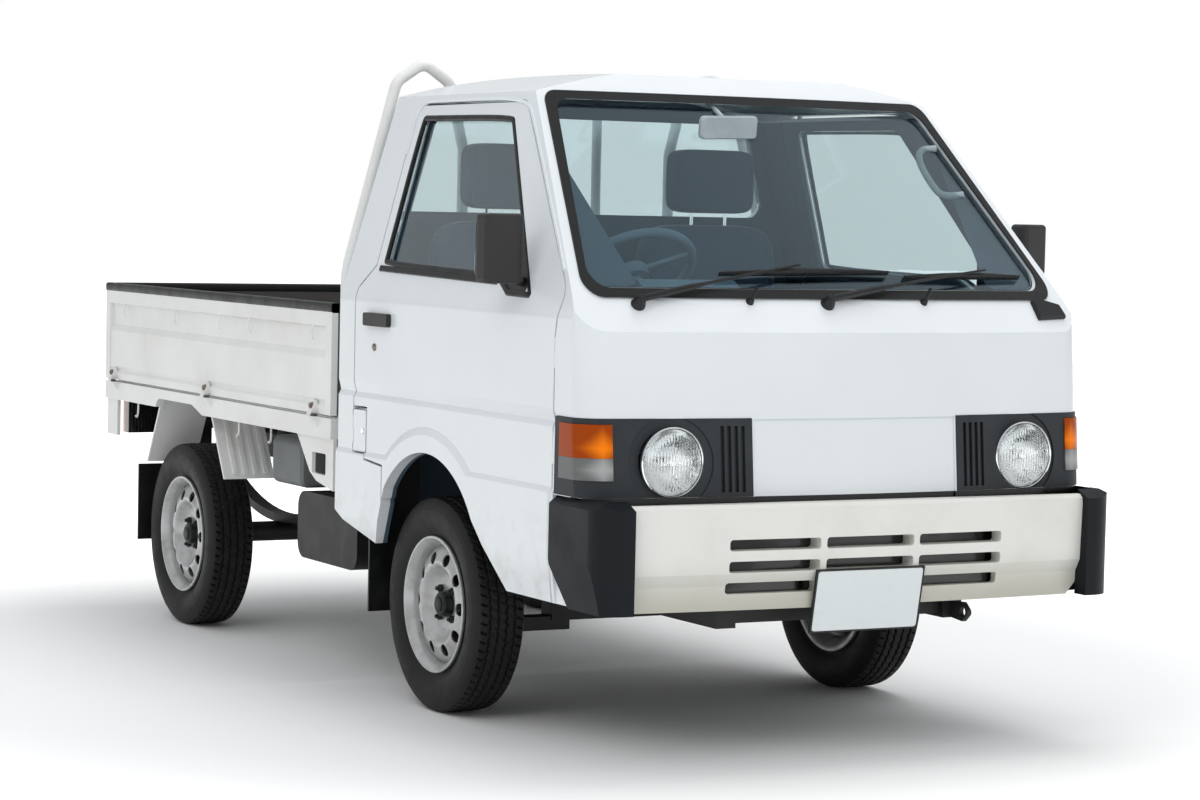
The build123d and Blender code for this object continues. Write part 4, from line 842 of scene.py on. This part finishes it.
class TRUCK_OT_headlamps(bpy.types.Operator):
    """Make the sealed headlamps: fluted glass, mirror bowl, bulb shield and bright ring"""

    bl_idname = "truck.headlamps"
    bl_label = "Headlamps"

    # Middle of the left glass, and profiles as (radius, distance forward) from it, in mm.
    PLACE = (1040, 555, 795)
    BOWL_BACK = ((0, -56), (0, -60), (20, -64), (60, -52), (88.5, -10))
    SHIELD = ((0, -12), (10, -13), (15, -18), (15.5, -34), (8, -40), (0, -42))
    RING = ((87.2, 0), (89.5, 2.5), (92.5, 1), (93, -6), (91, -9), (88.2, -6))
    # Radius of the bowl and of the glass, and the pitch of the glass's flutes.
    BOWL, GLASS, FLUTE = 86 * MM, 86.8 * MM, 8.8 * MM

    def execute(self, context):
        lenses, bowls, rings = [], [], []
        r = np.linspace(self.BOWL, 14 * MM, 14)
        inner = np.stack([r, -58 * MM + 54 * MM * (r / self.BOWL) ** 2], 1)
        bowl = np.concatenate([inner, np.array(self.BOWL_BACK) * MM])
        ahead = (1, 0, 0)
        for _, side in SIDES:
            centre = at(np.array(self.PLACE) * (1, side, 1))
            lenses.append(self.lens(centre))
            bowls += [turned(bowl, centre, ahead, 64, True),
                      turned(np.array(self.SHIELD) * MM, centre, ahead, 32)]
            rings.append(turned(np.array(self.RING) * MM, centre, ahead, 64, True))
        piece("headlamp_glass", lenses, finish("lamp_glass_clear"), "chassis", ("headlamps",))
        piece("headlamp_bowls", bowls, finish("chrome_plate"), "chassis")
        piece("headlamp_rings", rings, finish("chrome_plate"), "chassis")
        return {"FINISHED"}

    def lens(self, centre):
        """Domed disc: the outer face rises by 13 mm to the middle as one minus the radius squared.

        The inner face follows 3.5 mm behind it and carries upright flutes, a cosine of y, that
        fade out near the rim.
        """
        r, a = np.meshgrid(np.linspace(0, self.GLASS, 40), np.arange(120) * 2 * np.pi / 120, indexing="ij")
        y, z = r * np.cos(a), r * np.sin(a)
        dome = 13 * MM * (1 - (r / self.GLASS) ** 2)
        flute = 1.1 * MM * (1 + np.cos(2 * np.pi * y / self.FLUTE)) * np.clip((0.080 - r) / 0.006, 0, 1)
        outer = np.stack([dome + 0.001, y, z], -1)
        inner = np.stack([dome - 0.0025 - flute, y, z], -1)
        return grid(np.concatenate([outer, inner[::-1]]) + centre, False, True)


class TRUCK_OT_seats(bpy.types.Operator):
    """Make the padded seats, backs and headrests"""

    bl_idname = "truck.seats"
    bl_label = "Seats"

    def execute(self, context):
        for node, name, channels in (("seat_cushions", "seat_pads", 4), ("seat_backs", "back_pads", 4),
                                     ("headrests", "head_pads", 0)):
            low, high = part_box(node)
            parts = [self.pad(np.array(low), np.array(high), side, node, channels) for side in (-1, 1)]
            made = piece(name, parts, finish("woven_seat_cloth"), "chassis", (node,),
                         sharp=60)
        posts = [tube(at([(-360, side * 350 + k, 1396), (-357, side * 350 + k, 1452)]), 6 * MM, rounds=1)
                 for side in (-1, 1) for k in (-60, 60)]
        piece("headrest_posts", posts, finish("chrome_plate"), "chassis")
        return {"FINISHED"}

    def pad(self, low, high, side, node, channels):
        """Crowned pad: a superellipsoid of the box on one side of the middle.

        Its points are half sizes times signed powers of cosines and sines, which gives flat
        middles, full corners and soft edges. Sewn channels pull the face in as narrow dips
        spaced along y.
        """
        half_gap = {"seat_cushions": 115, "seat_backs": 115, "headrests": 210}[node] * MM
        half_out = high[1]
        centre = np.array([(low[0] + high[0]) / 2, side * (half_gap + half_out) / 2,
                           (low[2] + high[2]) / 2])
        half = np.array([high[0] - low[0], half_out - half_gap, high[2] - low[2]]) / 2
        if node == "headrests":
            foot = 0.037
            centre[2] += foot / 2
            half[2] -= foot / 2
        u, v = np.meshgrid(np.linspace(-np.pi / 2, np.pi / 2, 65), np.arange(128) * 2 * np.pi / 128,
                           indexing="ij")

        def power(wave, e):
            """Power of a wave that keeps its sign."""
            return np.sign(wave) * np.abs(wave) ** e

        e = 0.32
        x = power(np.cos(u), e) * power(np.cos(v), e)
        y = power(np.cos(u), e) * power(np.sin(v), e)
        z = power(np.sin(u), e)
        crown = 1 - 0.10 * (y ** 2) * (np.abs(x) > 0.9)
        if channels:
            dip = np.zeros(x.shape)
            for k in np.linspace(-0.5, 0.5, channels - 1):
                dip = np.maximum(dip, np.exp(-((y - k) / 0.035) ** 2))
            if node == "seat_cushions":
                z = np.where(z > 0, z - 0.07 * dip * np.clip(z, 0, 1) ** 4, z)
            else:
                x = x - 0.09 * dip * np.clip(x, 0, 1) ** 4
        points = np.stack([x * crown, y, z], -1) * half + centre
        if node == "seat_backs":
            lean = np.clip((points[..., 2] - 0.92) / 0.48, 0, 1)
            points[..., 0] -= 0.018 * lean * (x > 0)
        return grid(points, False, True)


class TRUCK_OT_window_seals(bpy.types.Operator):
    """Make the rubber round the door windows and the black strip along their lower edge"""

    bl_idname = "truck.window_seals"
    bl_label = "Window rubbers"

    # Corners of the window opening and ends of the strip under it, as (x, z) in mm.
    WINDOW = ((-305, 1272), (440, 1258), (520, 1215), (655, 1213), (285, 1693), (-297, 1698))
    BELT = ((-326, 1258), (446, 1243))

    def execute(self, context):
        rows = np.repeat(np.array(self.WINDOW, float), 2, 0)
        path = softened(rows * 0.96 + np.roll(rows, 1, 0) * 0.04, True, 3)
        w = sizes().seal_width / 2
        section = np.array([(-w, -6 * MM), (w, -6 * MM), (w, 1 * MM), (w * 0.5, 3.5 * MM),
                            (-w * 0.5, 3.5 * MM), (-w, 1 * MM)])
        for name, side in SIDES:
            normal = unit((0, side, SIDE_LEAN))
            seal = carried(on_side(path, side, -1), section, normal, True)
            piece(f"window_rubber_{name}", [seal], finish("black_epdm_rubber"), f"door_{name}",
                  sharp=30)
            belt = carried(on_side(np.linspace(*self.BELT, 12), side), rounded(18 * MM, 9 * MM, 3 * MM),
                           normal)
            piece(f"belt_strip_{name}", [belt], finish("black_epdm_rubber"), f"door_{name}")
        return {"FINISHED"}


class TRUCK_OT_gate_trim(bpy.types.Operator):
    """Make the black rails on the gates, the rope hooks and the hinge bolts"""

    bl_idname = "truck.gate_trim"
    bl_label = "Gate rails and hooks"

    # Places along the bed and shapes of the fittings in mm: hooks as paths from their own x, bolts as
    # (inset, height) and washers as (radius, height) on the straps' leaning face.
    HOOK_X = (-2421, -1926, -1518, -1260, -755)
    HOOK = ((0, 786, 1078), (0, 797, 1074), (0, 803, 1058), (0, 803, 1036), (0, 796, 1028))
    SKIRT_HOOK_X = (-2325, -1387, -1117)
    SKIRT_HOOK = ((0, 780, 745), (0, 780, 700), (6, 786, 684), (14, 794, 690))
    BOLT_X = (-737, -1627, -2524)
    BOLT = ((0, 0), (0, 7), (1.5, 9))
    WASHER = ((0, 3), (10, 3), (11, 2), (11, -2), (0, -2))
    STRAP_LEAN = 0.4

    def execute(self, context):
        wire = sizes().hook_wire / 2
        for name, side in SIDES:
            low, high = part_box(f"gate_{name}")
            self.rail(name, (low.x, side * 783 * MM), (high.x, side * 783 * MM))
            hooks = [tube(at(np.array(self.HOOK) * (1, side, 1) + (x, 0, 0)), wire, 8) for x in self.HOOK_X]
            piece(f"rope_hooks_{name}", hooks, finish("bed_enamel"), f"gate_{name}")
            up, out = np.array([1.0, 0, 0]), unit((0, side, self.STRAP_LEAN))
            bolts = []
            for x in self.BOLT_X:
                foot = at((x, side * 806, 830))
                bolts.append(raised(circle(8 * MM, 6), np.array(self.BOLT) * MM, foot, np.cross(up, out),
                                    up))
                bolts.append(turned(np.array(self.WASHER) * MM, foot, out, 24))
            piece(f"hinge_bolts_{name}", bolts, finish("dull_plated_steel"), f"gate_{name}")
            under = [tube(at(np.array(self.SKIRT_HOOK) * (1, side, 1) + (x, 0, 0)), wire, 8)
                     for x in self.SKIRT_HOOK_X]
            piece(f"skirt_hooks_{name}", under, finish("bed_enamel"), "chassis")
        low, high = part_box("gate_rear")
        self.rail("rear", (low.x + 35 * MM, low.y), (low.x + 35 * MM, high.y))
        return {"FINISHED"}

    def rail(self, name, start, end):
        """Rounded bar along the top of a gate, 3 mm proud of it, from one (x, y) to another."""
        height = sizes().rail_height
        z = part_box(f"gate_{name}")[1].z + 3 * MM - height / 2
        bar = carried(np.array([(*start, z), (*end, z)]), rounded(33 * MM, height, 9 * MM), (0, 0, 1))
        piece(f"gate_rail_{name}", [bar], finish("black_epdm_rubber"), f"gate_{name}",
              sharp=60)


class TRUCK_OT_front_trim(bpy.types.Operator):
    """Make the blank number plate"""

    bl_idname = "truck.front_trim"
    bl_label = "Number plate"

    def execute(self, context):
        low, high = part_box("number_plate")
        tuck = np.radians(10.5)
        up = np.array([np.sin(tuck), 0, np.cos(tuck)])
        across = np.array([0, 1.0, 0])
        centre = (np.array(low) + np.array(high)) / 2 + np.cross(across, up) * 0.2 * MM
        plate = raised(rounded(329 * MM, 164 * MM, 8 * MM),
                       ((0, 2.1 * MM), (0, 3.3 * MM), (0.6 * MM, 3.8 * MM)), centre, across, up)
        piece("blank_plate", [plate], finish("painted_plate"), "chassis")
        return {"FINISHED"}


class TRUCK_OT_wipers(bpy.types.Operator):
    """Make the wipers: tapered arms with bowed blade carriers on rubber blades"""

    bl_idname = "truck.wipers"
    bl_label = "Wipers"

    # Pivot, tip of the arm and both ends of the blade of each wiper, in mm.
    WIPERS = (((936, -611, 1199), (899, -97, 1307), (900, -345, 1284), (897, 190, 1291)),
              ((973, -53, 1203), (880, 522, 1299), (900, 240, 1279), (858, 655, 1282)))
    # Profile of a pivot's boss as (radius, height) in mm, and the way it points.
    BOSS = ((0, 34), (9, 34), (13, 30), (15, 18), (19, 8), (20, 0.5), (0, 0.5))
    PIVOT_WAY = (0.764, 0.0, 0.645)
    # The windscreen's lean in degrees.
    LEAN = 45.6

    def execute(self, context):
        lean = np.radians(self.LEAN)
        out = np.array([np.sin(lean), 0, np.cos(lean)])
        part = np.linspace(0, 1, 24)
        bow = out * np.sin(np.pi * part)[:, None]
        arms = []
        for points in self.WIPERS:
            pivot, tip, start, end = at(points)
            arms.append(turned(np.array(self.BOSS) * MM, pivot, self.PIVOT_WAY, 24))
            knee = pivot + out * 24 * MM
            line = start + (end - start) * part[:, None]
            arm = knee + (tip - knee) * part[:, None]
            for path, places, widths, heights in (
                    (arm + bow * 6 * MM, (0, 0.3, 0.4, 1), (10, 9, 5, 3.4), (8, 7, 3.5, 3)),
                    (line + bow * 7 * MM, (0, 0.5, 1), (3, 7, 3), (3, 5, 3)),
                    (line - out * 8 * MM, (0, 1), (2.6, 2.6), (5.5, 5.5))):
                arms.append(self.tapered(path, out, np.interp(part, places, widths) * MM,
                                         np.interp(part, places, heights) * MM))
            for spot in (0.04, 0.27, 0.5, 0.73, 0.96):
                joint = start + (end - start) * spot
                ends = np.array([joint - out * 9 * MM, joint + out * 7 * MM * np.sin(np.pi * spot)])
                arms.append(carried(ends, circle(4 * MM, 8)))
        piece("wiper_set", arms, finish("wiper_black_plastic"), "chassis", ("wipers",))
        return {"FINISHED"}

    def tapered(self, path, normal, half_width, half_height):
        """Eight-sided bar along a path, with its own half width and half height at each point."""
        ahead = unit(np.gradient(path, axis=0))
        side = unit(np.cross(ahead, normal))
        rise = np.cross(side, ahead)
        ring = circle(1.08, 8)
        return capped(path[:, None] + ring[None, :, :1] * (side * half_width[:, None])[:, None]
                      + ring[None, :, 1:] * (rise * half_height[:, None])[:, None])


class TRUCK_OT_cab_trim(bpy.types.Operator):
    """Make the drip rails, door locks, mirror glasses, washer nozzles and corner bracket"""

    bl_idname = "truck.cab_trim"
    bl_label = "Cab trim"

    # Corners of the rail over the door and down the windscreen pillar, as (x, z) in mm.
    DRIP_RAIL = ((-352, 1265), (-346, 1600), (-346, 1746), (-200, 1748), (340, 1748), (420, 1690),
                 (700, 1405), (818, 1285))

    def execute(self, context):
        path = softened(self.DRIP_RAIL, rounds=3)[12:]
        section = np.array([(-5, -4), (5, -4), (5, 3), (2, 6), (-5, 5)]) * MM
        sweep = np.arctan2(26, 114)
        for name, side in SIDES:
            rail = carried(on_side(path, side, 1.5), section, unit((0, side, SIDE_LEAN)))
            piece(f"drip_rail_{name}", [rail], finish("cab_enamel"), "chassis")
            lock = turned(np.array([(0, 5), (8, 5), (10, 4), (11, 1), (11, -2), (0, -2)]) * MM,
                          at((-307, side * BODY_HALF, 1028)), (0, side, 0), 24)
            piece(f"door_lock_{name}", [lock], finish("dull_plated_steel"), f"door_{name}")
            mirror = raised(rounded(96 * MM, 158 * MM, 16 * MM),
                            np.array([(0, -1), (0, 0.8), (1, 1.4)]) * MM, at((585, side * 860, 1335)),
                            (np.sin(sweep) * side, -np.cos(sweep), 0), (0, 0, 1.0))
            piece(f"mirror_glass_{name}", [mirror], finish("chrome_plate"), f"door_{name}")
        lid_lock = turned(np.array([(0, 3), (8, 3), (9, 1), (9, -2), (0, -2)]) * MM, at((-380, -795, 778)),
                          (0, -1, 0), 20)
        piece("lid_lock", [lid_lock], finish("chrome_plate"), "fuel_lid")
        nozzles = []
        up = np.array([0.764, 0, 0.645])
        for x, y, z in ((961, -287, 1209), (961, 264, 1210)):
            foot = at((x, y, z))
            nozzles.append(turned(np.array([(0, 16), (7, 14), (9, 8), (11, 2), (11, -8), (0, -8)]) * MM,
                                  foot, up, 20))
            nozzles.append(tube(np.array([foot + up * 8 * MM, foot + up * 14 * MM + (0.006, 0.006, 0.012),
                                          foot + up * 20 * MM + (-0.002, 0.012, 0.026)]), 5 * MM, 10, 2))
        bracket = raised(np.array([(-52, -42), (52, -36), (46, 10), (-30, 34), (-52, 22)]) * MM,
                         ((0, 0), (0, 10 * MM), (6 * MM, 15 * MM)), at((925, 700, 1192)),
                         unit((-0.135, 1.0, 0)), unit((-0.645, 0, 0.764)))
        piece("washer_nozzles", nozzles + [bracket], finish("wiper_black_plastic"), "chassis")
        return {"FINISHED"}


class TRUCK_OT_interior(bpy.types.Operator):
    """Make the rear-view mirror, the grip on the far pillar and the gear lever"""

    bl_idname = "truck.interior"
    bl_label = "Interior"

    def execute(self, context):
        plastic = finish("pale_trim_plastic")
        head = raised(rounded(182 * MM, 66 * MM, 14 * MM), ((6 * MM, -12 * MM), (0, -5 * MM), (0, 6 * MM),
                                                            (5 * MM, 11 * MM)), at((520, -106, 1678)),
                      unit((0.0, 1, 0.03)), unit((0.1, 0, 1)))
        stem = tube(at([(515, -106, 1690), (480, -106, 1712), (430, -106, 1738), (392, -106, 1752)]),
                    7 * MM)
        piece("inner_mirror", [head, stem], plastic, "chassis")
        grip = [tube(at([(500, 605, 1640), (486, 560, 1636), (498, 545, 1600), (570, 555, 1520),
                         (598, 570, 1500), (622, 622, 1508)]), 10 * MM)]
        piece("pillar_grip", grip, plastic, "chassis")
        lever = [tube(at([(300, 0, 765), (310, 0, 860), (292, 0, 975)]), 7 * MM),
                 turned(np.array([(0, 1022), (12, 1018), (19, 1004), (17, 985), (9, 972), (0, 972)]) * MM
                        - (0, 0.972), at((292, 0, 972)), (0, 0, 1), 20)]
        piece("gear_lever", lever, finish("black_epdm_rubber"), "chassis")
        return {"FINISHED"}


class TRUCK_OT_stage(bpy.types.Operator):
    """Set the floor, the light and the camera"""

    bl_idname = "truck.stage"
    bl_label = "Stage"

    # Each lamp's name, place, target and diameter in metres, and power in watts.
    LAMPS = (("key_softbox", (5.0, -5.5, 6.0), (0.6, 0, 0.8), 4.0, 90),
             ("roof_softbox", (-0.5, 1.5, 6.5), (0, 0, 0.8), 5.0, 155),
             ("front_softbox", (6.5, 0.5, 4.0), (1.5, 0, 0.9), 3.0, 45))
    # The camera's yaw, pitch and roll in degrees and its place in mm.
    TURN, PLACE = (151.79, -3.47, 1.25), (8106, -4602, 1449)
    # The photograph's size, middle and focal length in pixels, and the sensor's width in mm.
    PICTURE, CENTRE, FOCAL, SENSOR = (1200, 800), (586.6, 398.9), 3159.9, 36.0

    def execute(self, context):
        scene = bpy.context.scene
        scene.view_settings.view_transform = "Standard"
        self.floor()
        self.world(scene)
        for lamp in self.LAMPS:
            self.lamp(*lamp)
        self.camera(scene)
        return {"FINISHED"}

    def floor(self):
        """Pale matt floor that the camera sees a little lighter, so that it runs into the background."""
        size = 60.0
        verts = np.array([(-size, -size, 0), (size, -size, 0), (size, size, 0), (-size, size, 0)])
        mesh = bpy.data.meshes.new("studio_floor")
        mesh.from_pydata(verts.tolist(), [], [(0, 1, 2, 3)])
        thing = bpy.data.objects.new("studio_floor", mesh)
        bpy.context.scene.collection.objects.link(thing)
        material, tree, shader, place = finish_of("studio_paper", Roughness=0.9,
                                                  Base_Color=(0.92, 0.92, 0.92, 1))
        rays = add(tree, "LightPath")
        seen = add(tree, "Math", (rays["Is Glossy Ray"], rays["Is Transmission Ray"]),
                   operation="MAXIMUM")[0]
        seen = add(tree, "Math", (rays["Is Camera Ray"], seen), operation="MAXIMUM")[0]
        shader.inputs["Emission Color"].default_value = (1, 1, 1, 1)
        far = add(tree, "VectorMath", (place,), operation="LENGTH")["Value"]
        lift = add(tree, "MapRange", (far, 1.8, 4.4, 0.0, 0.75), interpolation_type="SMOOTHSTEP")[0]
        link(tree, shader, Emission_Strength=add(tree, "Math", (seen, lift), operation="MULTIPLY")[0])
        mesh.materials.append(material)

    def world(self, scene):
        """Even sky that lights the truck, white where the camera looks past it."""
        world = bpy.data.worlds.new("studio_sky")
        scene.world = world
        world.use_nodes = True
        tree = world.node_tree
        rays = add(tree, "LightPath")
        seen = add(tree, "Math", (rays["Is Camera Ray"], rays["Is Transmission Ray"]),
                   operation="MAXIMUM")[0]
        height = add(tree, "SeparateXYZ", (add(tree, "TexCoord")["Generated"],))["Z"]
        high = add(tree, "MapRange", (height, -0.1, 0.9), interpolation_type="SMOOTHSTEP")[0]
        back = tree.nodes["Background"]
        link(tree, back, Color=layered(tree, (0.50, 0.51, 0.52, 1), (high, (0.80, 0.81, 0.82, 1)),
                                       (seen, (1, 1, 1, 1))))
        back.inputs["Strength"].default_value = 1.0

    def facing(self, right, up, back, place):
        """Matrix of an object at place whose own axes point right, up and back."""
        return Matrix([(*row, p) for row, p in zip(np.stack([right, up, back], 1), place)] + [(0, 0, 0, 1)])

    def lamp(self, name, place, target, size, power):
        """Round softbox that lights the truck and isn't seen in it."""
        data = bpy.data.lights.new(name, "AREA")
        data.shape, data.size, data.energy = "DISK", size, power
        lamp = bpy.data.objects.new(name, data)
        back = unit(np.array(place) - np.array(target))
        side = unit(np.cross((0, 0, 1.0), back))
        lamp.matrix_world = self.facing(side, np.cross(back, side), back, place)
        lamp.visible_glossy = lamp.visible_transmission = False
        bpy.context.scene.collection.objects.link(lamp)

    def camera(self, scene):
        """Camera at the photograph's place: yaw, pitch and roll turn its forward, right and up directions."""
        yaw, pitch, roll = np.radians(self.TURN)
        ahead = np.array([np.cos(pitch) * np.cos(yaw), np.cos(pitch) * np.sin(yaw), np.sin(pitch)])
        right = unit(np.cross(ahead, (0, 0, 1)))
        up = np.cross(right, ahead)
        right, up = np.cos(roll) * right + np.sin(roll) * up, np.cos(roll) * up - np.sin(roll) * right
        data = bpy.data.cameras.new("photo_camera")
        width, height = self.PICTURE
        data.sensor_width = self.SENSOR
        data.lens = self.FOCAL / width * self.SENSOR
        data.shift_x = (width / 2 - self.CENTRE[0]) / width
        data.shift_y = (self.CENTRE[1] - height / 2) / width
        data.clip_end = 200
        camera = bpy.data.objects.new("photo_camera", data)
        camera.matrix_world = self.facing(right, up, -ahead, at(self.PLACE))
        scene.collection.objects.link(camera)
        scene.camera = camera


OPERATORS = (TRUCK_OT_paint, TRUCK_OT_tyres, TRUCK_OT_wheel_discs, TRUCK_OT_wheel_trim, TRUCK_OT_headlamps,
             TRUCK_OT_seats, TRUCK_OT_window_seals, TRUCK_OT_gate_trim, TRUCK_OT_front_trim, TRUCK_OT_wipers,
             TRUCK_OT_cab_trim, TRUCK_OT_interior, TRUCK_OT_stage)


class TRUCK_PT_dressing(bpy.types.Panel):
    """Lists the truck's colours, sizes and pieces"""

    bl_idname = "TRUCK_PT_dressing"
    bl_label = "Flatbed truck"
    bl_space_type = "VIEW_3D"
    bl_region_type = "UI"
    bl_category = "Truck"

    def draw(self, context):
        for group in (context.scene.truck_colours, context.scene.truck_sizes):
            for key in group.__annotations__:
                self.layout.prop(group, key)
        for operator in OPERATORS:
            self.layout.operator(operator.bl_idname)


CLASSES = (TruckColours, TruckSizes, *OPERATORS, TRUCK_PT_dressing)


def register():
    for item in CLASSES:
        bpy.utils.register_class(item)
    bpy.types.Scene.truck_colours = PointerProperty(type=TruckColours)
    bpy.types.Scene.truck_sizes = PointerProperty(type=TruckSizes)


def unregister():
    del bpy.types.Scene.truck_colours, bpy.types.Scene.truck_sizes
    for item in reversed(CLASSES):
        bpy.utils.unregister_class(item)


def main():
    """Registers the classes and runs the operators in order."""
    register()
    for operator in OPERATORS:
        group, action = operator.bl_idname.split(".")
        getattr(getattr(bpy.ops, group), action)()


if __name__ == "__main__":
    main()
